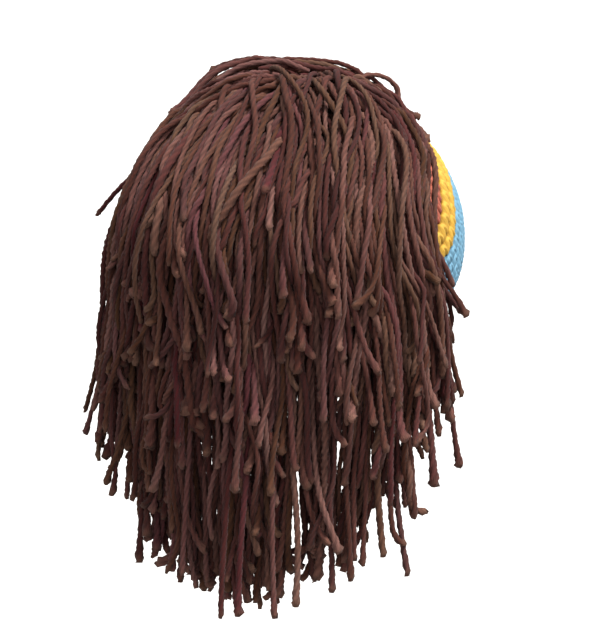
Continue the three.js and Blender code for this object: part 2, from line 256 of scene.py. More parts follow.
# The points of a path as it is laid out, of the whorl's, a single strand's, a hook's and an
# arch's part, then of every strand as it settles and as a tube, and the points of a tube's ring.
MERIDIAN_POINTS = 120
WHORL_POINTS = 40
STRAY_POINTS = 80
HOOK_POINTS = 12
ARCH_POINTS = 60
COARSE = 46
FINE = 84
SIDES = 6

# The strands' sideways swings: the waves' lengths in metres and their shares, and how wide the
# swings are, which start half as wide as they end, and a single strand's.
WAVES = ((0.24, 0.66), (0.1, 0.42), (0.05, 0.24))
STRAND_SWING = 0.034
SWING_GROWTH = 0.7
STRAY_SWING = 0.01

# Curled tips: the share of strands that have one, its length in metres and its turn in radians.
CURL_SHARE = 0.5
CURL_LENGTH = (0.01, 0.028)
CURL_TURN = (0.3, 1.5)

# How strands settle: in how many rounds, the room that each takes, in radii, and in a round the
# share of an overlap that each of two strands gives way, from how many neighbours on it gives
# way less, the share of its way back home and of a bend that is straightened. Below the widest
# height the bag is this much shallower, and deeper points than the deepest aren't moved further.
QUICK_ROUNDS, SETTLE_ROUNDS = 8, 34
ROOM = 1.04
PART_SHARE = 0.42
CROWDED = 2.5
HOME_PULL = 0.02
UNBEND = 0.22
SAG_SHAPE = 1.25
DEEPEST = 0.2

# A strand's thickness in radii: its range, the share of thicker ones and by how much, and how
# wide it is at its root, over a share of its length, and at its tip.
THICKNESS = (0.84, 1.16)
THICK_SHARE, THICKER = 0.14, 1.3
ROOT_WIDTH, ROOT_SHARE = 0.55, 0.02
TIP_WIDTH, CLOSING_LENGTH = 0.62, 0.0035

# A frayed end: its length and the length that it swells over, in metres, the most that it
# swells, how much further its plies stand out and how ragged it is. Then how far the tip's
# middle point stands out, and how far down the lowest tip may be, in drops.
FRAY_LENGTH, FLARE_LENGTH = 0.009, 0.024
MOST_FLARE = 0.7
FRAYED_PLY = 1.3
RAGGED = 0.3
TIP_LENGTH = 0.0004
LOWEST = 1.03

# A direction that no strand starts in, which its ring of points is turned from.
ANY_WAY = (0.31, 0.83, 0.46)

# Single strands that stand clear of the rest: the azimuths in degrees from the back at which
# they start and end, how far below the widest height they end, how far from the bag they hang
# and how long their hooked end is. How far off the bag they start, and a hook's turn in radians.
STRAY_COLUMNS = ("row", "azimuth", "tip_azimuth", "drop", "lift", "hook")
STRAYS = (
    ("upper", -68.0, -79.5, 0.112, 0.024, 0.0),
    ("upper", -70.0, -79.0, 0.164, 0.024, 0.0),
    ("upper", -66.0, -67.5, 0.136, 0.027, 0.0),
    ("middle", -63.0, -65.5, 0.174, 0.027, 0.0),
    ("middle", -55.0, -56.5, 0.190, 0.029, 0.016),
    ("middle", -56.5, -57.0, 0.194, 0.028, 0.004),
    ("lower", -53.5, -55.5, 0.240, 0.029, 0.0),
    ("lower", -50.0, -51.0, 0.214, 0.027, 0.01),
    ("lower", -47.5, -48.0, 0.222, 0.027, 0.0),
    ("lower", -43.5, -43.0, 0.232, 0.027, 0.0),
    ("lower", -41.0, -40.0, 0.226, 0.027, 0.0),
    ("nape", -37.0, -38.0, 0.240, 0.027, 0.0),
    ("nape", -32.0, -32.5, 0.248, 0.026, 0.0),
    ("nape", -22.5, -22.0, 0.259, 0.026, 0.0),
    ("nape", -16.5, -16.0, 0.271, 0.026, 0.0),
    ("nape", -8.0, -6.5, 0.269, 0.027, 0.0),
    ("nape", -3.0, -1.0, 0.273, 0.028, 0.0),
    ("nape", 12.0, 13.0, 0.245, 0.026, 0.0),
    ("crown", 58.0, 64.0, -0.016, 0.049, 0.0),
    ("crown", 54.0, 61.0, 0.036, 0.034, 0.0),
    ("crown", 62.0, 60.0, 0.080, 0.036, 0.0),
    ("upper", 58.0, 63.0, 0.138, 0.056, 0.008),
    ("upper", 61.0, 60.0, 0.150, 0.053, 0.012),
    ("upper", 64.0, 58.0, 0.136, 0.049, 0.0),
    ("upper", 60.0, 62.0, 0.166, 0.046, 0.0),
    ("middle", 52.0, 58.0, 0.172, 0.032, 0.0),
    ("lower", 50.0, 55.0, 0.203, 0.022, 0.0),
    ("lower", 46.0, 49.0, 0.216, 0.014, 0.0),
    ("nape", 41.0, 43.0, 0.250, 0.016, 0.0),
)
STRAY_START = 0.008
HOOK_TURN = 2.6

# Where the photo is seen from: the eye's direction in degrees and distance in metres, how many
# of its pixels a metre at the bag's middle takes, its height in pixels, the camera sensor's in
# millimetres, and how far to the left of and below the bag's middle the eye looks.
EYE_AZIMUTH = 207.0
EYE_ELEVATION = 8.0
EYE_DISTANCE = 2.2
PIXELS_A_METRE = 1250.0
PICTURE_HEIGHT = 637.0
SENSOR = 36.0
AIM_LEFT = 0.0072
AIM_BELOW = 0.0604

# Strands that arch over the top, as points across, up and towards that eye, in millimetres from
# the bag's middle.
ARCHES = (
    ((62, 112, 20), (75, 100.5, 20), (86, 88.5, 20), (91.5, 76.5, 20)),
    ((60, 110, 30), (75, 99, 30), (86.5, 86, 30), (90.5, 73, 30)),
    ((30, 119, 50), (46, 130.5, 30), (60, 131, 20), (71, 123, 10), (70.5, 111, 10)),
    ((12, 129, 40), (30, 133.5, 30), (50, 127, 20), (66, 113, 20), (79, 98, 30), (87, 83, 40)),
    ((18, 131, 30), (36, 134.5, 20), (54, 123, 20), (68, 109, 20), (80, 100.5, 20), (88.5, 97.5, 20)),
    ((-45, 141, 20), (-15, 145.5, 15), (8, 144.5, 15), (28, 139.5, 20), (43, 130, 30), (52, 117, 40)),
    ((-36, 138, 25), (-10, 142, 20), (14, 141, 20), (34, 135, 20), (51, 124, 20), (65, 110, 25)),
    ((-30, 136, 0), (-6, 138.5, -5), (18, 136.5, -5), (38, 130.5, 0), (56, 119, 10), (70, 104, 20)),
    ((-42, 132.5, 10), (-14, 135, 0), (12, 135, -5), (34, 129, 0), (52, 117, 10)),
    ((-26, 137, 12), (-2, 140, 8), (20, 137.5, 5), (40, 131, 10), (55, 120.5, 15), (66, 107, 20)),
    ((-40, 136, 35), (-14, 140, 30), (8, 137.5, 30), (26, 132, 40), (40, 122, 50), (50, 106, 60)),
    ((30, 127, 50), (46, 123, 40), (62, 110, 40), (74, 95, 50), (83, 76, 60), (88, 54, 70)),
    ((24, 124, 60), (40, 122, 50), (56, 108, 50), (68, 90, 60), (74, 69, 70)),
    (
        (-6, 138, 20), (-30, 145.5, 10), (-60, 144.5, 10), (-80, 136, 10), (-93, 121, 10),
        (-107, 102, 20),
    ),
    ((-8, 136, 30), (-35, 143, 20), (-62, 141, 20), (-82, 129, 20), (-98, 109, 20), (-115, 93, 20)),
    ((0, 134, 40), (-24, 142, 30), (-53, 139, 30), (-74, 126, 30), (-90, 106, 40), (-103, 82, 50)),
    ((-10, 137, 0), (-34, 141.5, -5), (-60, 138.5, -5), (-80, 127.5, 0), (-95, 112, 0)),
    ((-4, 135, -10), (-30, 139, -15), (-56, 137.5, -15), (-76, 130, -10), (-90, 117, -10)),
    ((6, 136, 10), (-20, 146, 0), (-50, 147, 0), (-70, 142.5, 0), (-80, 138, 0)),
)

# The dreadlocks' browns, from olive to maroon: place on the ramp, red, green and blue.
DREAD_BROWNS = (
    (0.0, 102, 69, 50),
    (0.25, 118, 77, 64),
    (0.45, 84, 45, 42),
    (0.65, 106, 61, 58),
    (0.85, 128, 86, 76),
    (1.0, 98, 44, 49),
)

# How deep the yarns' fine relief is, in metres.
BUMP_DISTANCE = 0.0006

# The stage: half the floor's width and how far below the hat it lies, in metres, and how bright
# the sky is seen and shines. Each light: how far towards the eye, to the right and up it stands,
# how wide it is in degrees, its strength and its colour.
FLOOR_HALF = 60.0
FLOOR_BELOW = 0.25
SKY_SEEN = 1.06
SKY_SHINES = 0.52
LIGHTS = (
    ("Key", 0.42, 0.62, 1.4, 16.0, 3.8, (1.0, 0.97, 0.93)),
    ("Fill", 1.0, 0.1, 0.35, 40.0, 0.55, (1.0, 1.0, 1.0)),
)


def view_directions():
    """The directions to the right, up and towards the eye, as the photo's eye sees them."""
    azimuth, elevation = math.radians(EYE_AZIMUTH), math.radians(EYE_ELEVATION)
    right = np.array((math.cos(azimuth), math.sin(azimuth), 0.0))
    flat = np.array((math.sin(azimuth), -math.cos(azimuth), 0.0))
    back = flat * math.cos(elevation) + np.array((0.0, 0.0, math.sin(elevation)))
    return right, np.cross(back, right), back


def from_view(points):
    """Points across, up and towards the eye, in millimetres, turned into the frame's metres."""
    return np.asarray(points) / 1000.0 @ np.stack(view_directions())


def smooth(value):
    """Eases from 0 to 1: three times the square less twice the cube."""
    value = np.clip(value, 0.0, 1.0)
    return value * value * (3.0 - 2.0 * value)


def mix(start, end, share):
    """start plus that share of the way to end."""
    return start + (end - start) * share


def look_up(table, at):
    """A table's value at a place: straight lines join its rows of a place and a value."""
    return np.interp(at, *np.array(table).T)


def unit(vectors):
    """Vectors divided by their lengths."""
    return vectors / np.maximum(np.linalg.norm(vectors, axis=-1, keepdims=True), 1e-12)


def arch(value):
    """Height of a round arch over -1 to 1: the root of one less the square, and 0 outside."""
    return np.sqrt(np.clip(1.0 - value * value, 0.0, 1.0))


def step_lengths(paths):
    """The distances between neighbouring points of each path."""
    return np.linalg.norm(np.diff(paths, axis=-2), axis=-1)


def travelled(paths):
    """How far along its path each point lies: the sum of the steps before it."""
    far = np.cumsum(step_lengths(paths), axis=-1)
    return np.concatenate((np.zeros((*far.shape[:-1], 1)), far), axis=-1)


def curve(a, b, c, d, t):
    """The smooth curve from b to c at a share t of the way, with a before them and d after: a
    cubic whose slope at b is half of c less a, and at c half of d less b."""
    return b + 0.5 * t * (c - a + t * (2 * a - 5 * b + 4 * c - d + t * (3 * (b - c) + d - a)))


def linear(red, green, blue):
    """A screen colour of 0 to 255 as linear light."""
    value = np.array((red, green, blue)) / 255.0
    return tuple(np.where(value <= 0.04045, value / 12.92, ((value + 0.055) / 1.055) ** 2.4))


# Sizes and colours


def length(name, description, default):
    """A property that is a length in metres."""
    return bpy.props.FloatProperty(name=name, description=description, default=default, unit="LENGTH")


def yarn_colour(name, description, *colour):
    """A property that is a colour, given as a screen colour of 0 to 255."""
    return bpy.props.FloatVectorProperty(
        name=name, description=description, subtype="COLOR", size=3, default=linear(*colour)
    )


class TamBagSizes(bpy.types.PropertyGroup):
    """Sizes of the crocheted bag and its band."""

    half_width: length("Half width", "Half the bag's width", 0.124)
    half_depth: length("Half depth", "Half the bag's depth", 0.128)
    rise: length("Rise", "From the bag's widest height to its top", 0.124)
    drop: length("Drop", "From the widest height to where the bag sags lowest", 0.086)
    wall: length("Wall", "Thickness of the crocheted fabric", 0.005)
    band_half_width: length("Band half width", "Half the head band's width", 0.087)
    band_half_depth: length("Band half depth", "Half the head band's depth", 0.101)
    band_height: length("Band height", "Height of the head band", 0.03)
    band_tilt: bpy.props.FloatProperty(
        name="Band tilt",
        description="How far the band's front is raised",
        default=math.radians(13),
        unit="ROTATION",
    )
    band_forward: length("Band forward", "How far the band lies ahead of the bag's middle", 0.016)
    band_below: length("Band below", "How far the band's top lies below the widest height", 0.052)
    clearance: length("Clearance", "Gap between neighbouring pieces", 0.0003)


class TamStitchSizes(bpy.types.PropertyGroup):
    """Sizes of the crochet stitches and of the ribs."""

    stitch: length("Stitch", "Width of one crochet stitch", 0.0094)
    relief: length("Relief", "How far a stitch stands out", 0.0034)
    ribs: bpy.props.IntProperty(name="Ribs", description="Number of ribs round the band", default=36)
    rib_relief: length("Rib relief", "How deep the valleys between the ribs are", 0.0026)
    knit: length("Knit stitch", "Height of one knit stitch of a rib", 0.006)


class TamStrandSizes(bpy.types.PropertyGroup):
    """Sizes of the dreadlocks."""

    radius: length("Radius", "Radius of one yarn strand", 0.0023)
    lobe: bpy.props.FloatProperty(
        name="Ply relief",
        description="How far the three plies stand out, as a share of the radius",
        default=0.075,
    )
    turn: length("Ply turn", "Length in which the plies turn once", 0.03)
    drop: length("Drop", "From the bag's widest height to the longest tip", 0.292)
    layer: length("Layer", "Room that one row takes over the bag", 0.0076)
    bulk: length("Bulk", "From the bag to the outside of the top row", 0.034)
    edge: length("Edge", "The same at the row's two ends", 0.0065)
    reach: length("Reach", "Furthest that a curled strand stands out from the bag", 0.045)
    seed: bpy.props.IntProperty(name="Seed", description="Seed of the strands' differences", default=7)


class TamColours(bpy.types.PropertyGroup):
    """Colours of the yarns."""

    coral: yarn_colour("Coral", "Colour of the coral rounds", 208, 118, 98)
    yellow: yarn_colour("Yellow", "Colour of the yellow rounds", 248, 200, 88)
    blue: yarn_colour("Blue", "Colour of the blue rounds", 138, 192, 222)
    brown: yarn_colour("Brown", "Colour of the crown and band", 84, 56, 48)


# Meshes


def link_object(name, data):
    """A new object in the scene."""
    made = bpy.data.objects.new(name, data)
    bpy.context.scene.collection.objects.link(made)
    return made


def make_piece(name, points, quads, triangles, material, nodes):
    """Puts points and faces into a new object that rides on the hat and stands for its CAD nodes."""
    quads = np.asarray(quads, np.int32).reshape(-1, 4)
    triangles = np.asarray(triangles, np.int32).reshape(-1, 3)
    mesh = bpy.data.meshes.new(name)
    mesh.vertices.add(len(points))
    mesh.vertices.foreach_set("co", np.ascontiguousarray(points, np.float32).ravel())
    corners = np.concatenate((quads.ravel(), triangles.ravel()))
    mesh.loops.add(len(corners))
    mesh.loops.foreach_set("vertex_index", corners)
    sizes = np.concatenate((np.full(len(quads), 4), np.full(len(triangles), 3))).astype(np.int32)
    mesh.polygons.add(len(sizes))
    mesh.polygons.foreach_set("loop_start", np.concatenate(((0,), np.cumsum(sizes)[:-1])).astype(np.int32))
    mesh.polygons.foreach_set("loop_total", sizes)
    mesh.polygons.foreach_set("use_smooth", np.ones(len(sizes), bool))
    mesh.update(calc_edges=True)
    mesh.validate()
    mesh.materials.append(material)
    piece = link_object(name, mesh)
    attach(piece, "root")
    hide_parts(*nodes)
    return piece


def set_attribute(piece, name, values):
    """Stores one number for each vertex."""
    attribute = piece.data.attributes.new(name, "FLOAT", "POINT")
    attribute.data.foreach_set("value", np.ascontiguousarray(values, np.float32).ravel())


def set_crest(piece, outer, number):
    """Stores how high the stitches are at the outer points, the first ones of a piece's number."""
    # These heights also set the painted shade of the yarn: the lower a point's crest, the darker it is
    # painted.
    crest = np.full(number, INNER_CREST)
    crest[: outer.size] = outer.ravel()
    set_attribute(piece, "crest", crest)


def set_uv(piece, name, values):
    """Stores a pair of numbers for each face corner."""
    layer = piece.data.uv_layers.new(name=name)
    layer.data.foreach_set("uv", np.ascontiguousarray(values, np.float32).ravel())


def wall_quads(rings, columns, links):
    """The faces between the rings of a wall. With as many links as rings the last ring is joined
    to the first."""
    ring, column = np.indices((links, columns))
    after, beside = (ring + 1) % rings, (column + 1) % columns
    corners = ((ring, column), (ring, beside), (after, beside), (after, column))
    return np.stack([row * columns + point for row, point in corners], -1)


# The bag


def band_frame(bag):
    """The middle of the band's upper edge from the bag's middle, and the band's own directions."""
    top = np.array((0.0, -bag.band_forward, -bag.band_below))
    axis = np.array((0.0, math.sin(bag.band_tilt), math.cos(bag.band_tilt)))
    rear = np.array((0.0, math.cos(bag.band_tilt), -math.sin(bag.band_tilt)))
    return top, axis, rear


def bag_middle(bag):
    """The bag's middle in the frame, whose origin is the middle of the band's lower edge."""
    top, axis, _ = band_frame(bag)
    return axis * bag.band_height - top


def band_point(bag, turn, inset, height):
    """A point of an oval round the band's axis: cosine of the turn to the rear, sine sideways."""
    top, axis, rear = band_frame(bag)
    side = np.array((1.0, 0.0, 0.0))
    turn, inset, height = np.broadcast_arrays(turn, inset, height)
    deep = ((bag.band_half_depth - inset) * np.cos(turn))[..., None] * rear
    wide = ((bag.band_half_width - inset) * np.sin(turn))[..., None] * side
    return top + deep + wide + height[..., None] * axis


def round_knots(bag):
    """The rounds in metres, with one more before the first, which mirrors the second, and two
    more at the end: the one that meets the band and one straight on from it."""
    columns = dict(zip(ROUND_COLUMNS, np.array(ROUNDS).T))
    for end in ("front", "rear"):
        columns[f"{end}_y"] = columns[f"{end}_y"] * bag.half_depth
        up = columns[f"{end}_z"]
        columns[f"{end}_z"] = up * np.where(up > 0, bag.rise, bag.drop)
    columns["side"] = columns["side"] * bag.half_width
    knots = np.stack(list(columns.values()), axis=1)
    front = band_point(bag, math.pi, 0.0, bag.clearance)
    rear = band_point(bag, 0.0, 0.0, bag.clearance)
    rim = np.array((front[1], front[2], rear[1], rear[2], bag.band_half_width))
    mirrored = knots[1][[2, 3, 0, 1, 4]] * (1, 1, 1, 1, -1)
    knots = np.vstack((mirrored, knots, rim))
    return np.vstack((knots, 2 * knots[-1] - knots[-2]))


def bag_point(knots, at, turn):
    """A point of the bag's outside. A smooth curve through four rounds gives the front and rear
    points and the half width at a round, and an ellipse joins them."""
    at, turn = np.broadcast_arrays(np.asarray(at, float), np.asarray(turn, float))
    index = np.clip(np.floor(at).astype(int), 0, LAST_ROUND - 1)
    size = curve(*(knots[index + k] for k in range(4)), (at - index)[..., None])
    front_y, front_z, rear_y, rear_z, side = np.moveaxis(size, -1, 0)
    y = 0.5 * (front_y + rear_y) + 0.5 * (rear_y - front_y) * np.cos(turn)
    z = 0.5 * (front_z + rear_z) + 0.5 * (rear_z - front_z) * np.cos(turn)
    return np.stack((side * np.sin(turn), y, z), axis=-1)


def bag_directions(knots, at, turn):
    """Unit vectors across the rounds towards the band, and outwards, from small steps."""
    step = 0.01
    start = np.clip(at - step, 0.5 * step, LAST_ROUND - 2 * step)
    down = unit(bag_point(knots, start + 2 * step, turn) - bag_point(knots, start, turn))
    middle = start + step
    about = bag_point(knots, middle, turn + step) - bag_point(knots, middle, turn - step)
    return down, unit(np.cross(about, down))


def dipped(bag, stitches, at, turn):
    """Rounds that dip towards the band at the bag's sides: a bell curve of the turn from the
    side, which fades out towards the crown's middle and towards the last round. Near a change of
    colour a row of arches is added, one for each stitch."""
    from_side = np.degrees(np.abs((turn + math.pi) % (2 * math.pi) - math.pi)) - 90.0
    bell = np.exp(-((from_side / SIDE_DIP_WIDTH) ** 2))
    dip = SIDE_DIP * bell * smooth(at / SIDE_DIP_FADE) * smooth((LAST_ROUND - at) / SIDE_DIP_FADE)
    number = round(2 * math.pi * bag.half_width / stitches.stitch)
    near = sum(np.exp(-(((at - change) / SCALLOP_WIDTH) ** 2)) for change in SCALLOPED)
    return at + dip + SCALLOP * near * (np.abs(np.sin(0.5 * number * turn)) - SCALLOP_MEAN)


def even_rounds(knots, first, last, count):
    """Rounds from first to last that lie evenly along the bag, as seen from its front corner."""
    dense = np.linspace(first, last, 400)
    path = bag_point(knots, dense, np.full(400, FRONT_CORNER))
    far = travelled(path)
    return np.interp(np.linspace(0.0, far[-1], count), far, dense)


def stitch_height(across, along):
    """Relief of one crochet stitch, from 0 to 1: two round legs that open like a V, each fading
    towards the ends of its row, and a low bar between two stitches."""
    off = np.abs(across - 0.5)
    leg = arch((off - (LEG_CLOSE + LEG_OPEN * along)) / LEG_WIDTH)
    bar = BAR_HEIGHT * arch((off - 0.5) / BAR_WIDTH)
    return np.maximum(leg, bar) * np.clip(np.sin(math.pi * along), 0.0, 1.0) ** ROW_END


def stitch_relief(stitches, knots, edges, share, turn):
    """The stitches' height over all rows, and how much each row keeps of it where it is short.
    Each row has a whole number of stitches and starts a little further round."""
    number = np.minimum(np.floor(share).astype(int), len(edges) - 2)
    middles = bag_point(knots, 0.5 * (edges[:-1] + edges[1:])[:, None], turn[None, :])
    around = np.linalg.norm(np.roll(middles, -1, axis=1) - middles, axis=2).sum(axis=1)
    many = np.maximum(np.round(around / stitches.stitch), FEWEST_STITCHES)
    phase = turn / (2 * math.pi) * many[number][:, None] + ROW_SHIFT * number[:, None]
    height = stitch_height(phase % 1.0, (share - number)[:, None])
    return height, np.minimum(1.0, around[number] / FULL_RELIEF_ROUND)[:, None]


def crochet_piece(bag, stitches, row, material):
    """A crocheted part of the bag: the bag's surface between two rounds, lifted by the relief of
    its stitches, closed by an inner wall at the fabric's thickness."""
    knots = round_knots(bag)
    first, last, rows, samples = (row[name] for name in ("first", "last", "rows", "samples"))
    columns = ROUND_POINTS if first else CROWN_POINTS
    edges = even_rounds(knots, max(first, CROWN_START), last, rows + 1)
    share = np.arange(rows * samples + 1) / samples
    at = np.interp(share, np.arange(rows + 1), edges)
    turn = np.arange(columns) * (2 * math.pi / columns)
    grid_at, grid_turn = np.meshgrid(at, turn, indexing="ij")
    grid_at = dipped(bag, stitches, grid_at, grid_turn)
    down, out = bag_directions(knots, grid_at, grid_turn)
    height, kept = stitch_relief(stitches, knots, edges, share, turn)
    lift = stitches.relief * kept * (height - STITCH_MEAN)
    trim = bag.clearance * (0.5 - share / rows)[:, None, None]
    trim = trim if first else np.minimum(trim, 0.0)
    outside = bag_point(knots, grid_at, grid_turn) + out * lift[..., None] + down * trim

    inner_at, inner_turn = np.meshgrid(np.linspace(at[-1], at[0], rows + 1), turn, indexing="ij")
    inner_at = dipped(bag, stitches, inner_at, inner_turn)
    _, inner_out = bag_directions(knots, inner_at, inner_turn)
    inside = bag_point(knots, inner_at, inner_turn) - inner_out * bag.wall
    if last == LAST_ROUND:
        seated = smooth((inner_at - last + SEAT_ROUNDS) / SEAT_ROUNDS)[..., None]
        inside = mix(inside, band_point(bag, inner_turn, bag.wall, bag.clearance), seated)
    stack = np.concatenate((outside, inside)) + bag_middle(bag)

    rings = len(stack)
    quads = wall_quads(rings, columns, rings if first else rings - 1)
    points = stack.reshape(-1, 3)
    triangles = ()
    if not first:
        points = np.concatenate((points, [stack[0].mean(axis=0), stack[-1].mean(axis=0)]))
        column = np.arange(columns)
        beside = (column + 1) % columns
        tail = (rings - 1) * columns
        top = np.stack((np.full(columns, len(points) - 2), beside, column), -1)
        bottom = np.stack((np.full(columns, len(points) - 1), tail + column, tail + beside), -1)
        triangles = np.concatenate((top, bottom))
    name = f"{row['node']}_crochet"
    piece = make_piece(name, points, quads, triangles, material, (row["node"],))
    set_crest(piece, height, len(points))
    return piece


def band_piece(bag, stitches, material):
    """The ribbed band: an oval wall whose outside is lifted by rounded ribs, each with two columns
    of knit stitches that slope like a V, and with low purl stitches in the valleys."""
    columns = stitches.ribs * RIB_POINTS
    turn = np.arange(columns) * (2 * math.pi / columns)
    down = np.linspace(0.0, 1.0, BAND_RINGS)
    grid_down, grid_turn = np.meshgrid(down, turn, indexing="ij")
    off = np.abs((grid_turn * stitches.ribs / (2 * math.pi) + 0.5) % 1.0 - 0.5)
    rib = arch(off / RIB_WIDTH)
    column_x = (off - KNIT_WIDTH) / KNIT_WIDTH
    rows = grid_down * bag.band_height / stitches.knit
    knit = np.abs(np.sin(math.pi * (rows + KNIT_SLOPE * column_x))) ** KNIT_ROUND * arch(column_x)
    purl = np.abs(np.sin(math.pi * rows * PURL_ROWS)) * (1.0 - rib)
    crest = rib * mix(RIB_PLAIN, 1.0, knit) + PURL_HEIGHT * purl
    edge = np.minimum(1.0, np.minimum(grid_down, 1.0 - grid_down) / BAND_EDGE)
    depth = stitches.rib_relief * (1.0 - crest) + BAND_EDGE_DEPTH * (1.0 - arch(1.0 - edge))
    outside = band_point(bag, grid_turn, depth, -grid_down * bag.band_height)
    inner_down, inner_turn = np.meshgrid(down[::-4], turn, indexing="ij")
    inner_rib = BAND_INSIDE_WAVE * np.cos(inner_turn * stitches.ribs)
    inside = band_point(bag, inner_turn, bag.wall + inner_rib, -inner_down * bag.band_height)
    stack = np.concatenate((outside, inside)) + bag_middle(bag)
    quads = wall_quads(len(stack), columns, len(stack))
    points = stack.reshape(-1, 3)
    piece = make_piece("head_band_ribs", points, quads, (), material, ("head_band",))
    set_crest(piece, crest, len(points))
    return piece


# The dreadlocks


def over_bag(bag, azimuth, fall, lift, drift):
    """A point over the bag: the ellipsoid's point at an azimuth from the back and an angle from
    the top, moved out by lift. Past 90 degrees it hangs straight down by the same arc's length,
    and drifts inwards with the depth."""
    azimuth = np.radians(azimuth)
    polar = np.radians(np.minimum(fall, 90.0))
    ray = np.stack((np.sin(polar) * np.sin(azimuth), np.sin(polar) * np.cos(azimuth), np.cos(polar)), -1)
    shape = 1.0 / np.array((bag.half_width, bag.half_depth, bag.rise))
    base = ray / np.linalg.norm(ray * shape, axis=-1, keepdims=True)
    out = unit(base * shape * shape)
    hang = np.radians(np.maximum(fall - 90.0, 0.0)) * bag.half_depth
    base = base + out * (lift - drift * np.maximum(hang - HANG_CLEAR, 0.0))[..., None]
    base[..., 2] -= hang
    return base


def root_fall(row, around):
    """The angle from the top at which a row is sewn on."""
    return mix(row["root_back"], row["root_end"], smooth(np.abs(around) / row["span"]))


def layer_floor(strands, index, around, fall):
    """How far a row's underside lies from the bag: one layer for each lower row that is there,
    half as thick at the top."""
    floor = np.full(np.broadcast(around, fall).shape, FLOOR_GAP)
    full = mix(0.5, 1.0, smooth((fall - FULL_LAYER[0]) / (FULL_LAYER[1] - FULL_LAYER[0])))
    for row in LOCK_ROWS[:index]:
        side = smooth((row["span"] + LAP_SIDE[0] - np.abs(around)) / (LAP_SIDE[0] - LAP_SIDE[1]))
        root = smooth((fall - root_fall(row, around) + LAP_ROOT[0]) / (LAP_ROOT[0] - LAP_ROOT[1]))
        floor = floor + strands.layer * side * root * full
    return floor


def resample(paths, count):
    """Each path cut into points that lie evenly along it."""
    result = np.empty((len(paths), count, 3))
    for i, path in enumerate(paths):
        far = travelled(path)
        for axis in range(3):
            result[i, :, axis] = np.interp(np.linspace(0.0, far[-1], count), far, path[:, axis])
    return result


def smooth_paths(points, count):
    """A smooth curve through each path's points, cut finer: four neighbours give each stretch."""
    ends = 2 * points[:, [0, -1]] - points[:, [1, -2]]
    padded = np.concatenate((ends[:, :1], points, ends[:, 1:]), axis=1)
    position = np.linspace(0.0, points.shape[1] - 1.0, count)
    index = np.minimum(np.floor(position).astype(int), points.shape[1] - 2)
    return curve(*(padded[:, index + k] for k in range(4)), (position - index)[None, :, None])


def waves(random, paths, swing):
    """Smooth sideways swings along paths: a sum of sines with random starts and sizes."""
    number, count = paths.shape[:2]
    along = np.linspace(0.0, 1.0, count)[None, :, None] * step_lengths(paths).sum(axis=1)[:, None, None]
    total = 0.0
    for wave, share in WAVES:
        start = random.uniform(0.0, 2 * math.pi, (number, 1, 3))
        size = random.normal(0.0, 1.0, (number, 1, 3)) * wave * share
        total = total + size * np.sin(2 * math.pi * along / wave + start)
    return swing * total


def strand_tips(strands, row, around, tuft, random):
    """How far below the widest height a row's strands end, and how far aside their tips lean."""
    number, tufts = len(around), tuft[-1] + 1
    tip = strands.drop * mix(row["tip_back"], row["tip_end"], smooth(np.abs(around) / row["span"]))
    uneven = (1 - OWN_SHARE) * random.uniform(-1.0, 1.0, tufts)[tuft]
    uneven = uneven + OWN_SHARE * random.uniform(-1.0, 1.0, number)
    tip = np.minimum(tip + strands.drop * uneven * row["vary"] * 0.5, strands.drop)
    left = strands.drop * look_up(CUT, around) * random.uniform(*CUT_RANGE, number)
    tip = np.where(random.uniform(0.0, 1.0, number) < CUT_SHARE, np.minimum(tip, left), tip)
    lean = random.normal(0.0, TUFT_LEAN, tufts)[tuft] + random.normal(0.0, STRAND_LEAN, number)
    longest = look_up(LONGEST, (around + lean) * SPREAD[-1][1])
    return np.minimum(tip, strands.drop * longest * random.uniform(*LONGEST_RANGE, number)), lean


def strand_lift(strands, index, around, fall, tip, tuft, random):
    """How far from the bag each point of a row's strands lies: the row's floor and the strand's
    own height in its layer. The top row's layer reaches to the dome and to the hair's outside."""
    row = LOCK_ROWS[index]
    floor = layer_floor(strands, index, around, fall)
    height = random.uniform(0.0, 1.0, tuft[-1] + 1)[tuft]
    height = mix(height, random.uniform(0.0, 1.0, len(tip)), OWN_SHARE)
    short = 1.0 - (tip - tip.min()) / (tip.max() - tip.min())
    sorting = SHORT_ABOVE * smooth((fall - SORTED_PAST[0]) / (SORTED_PAST[1] - SORTED_PAST[0]))
    height = mix(height[:, None], short[:, None], sorting) ** HEIGHT_POWER
    thick = strands.layer - LAYER_GAP
    if index == TOP_ROW:
        inward = smooth((row["span"] - np.abs(around)) / EDGE_WIDTH)
        dome = mix(DOME_LIFT, strands.edge, np.clip(fall / DOME_ANGLE, 0.0, 1.0) ** 3)
        outside = mix(strands.edge, strands.bulk, inward) * look_up(TOP_OUTSIDE, fall)
        thick = np.maximum(np.maximum(outside, dome) - floor, THINNEST_LAYER * strands.radius)
    return floor + strands.radius * NEST + height * (thick - 2 * NEST * strands.radius)


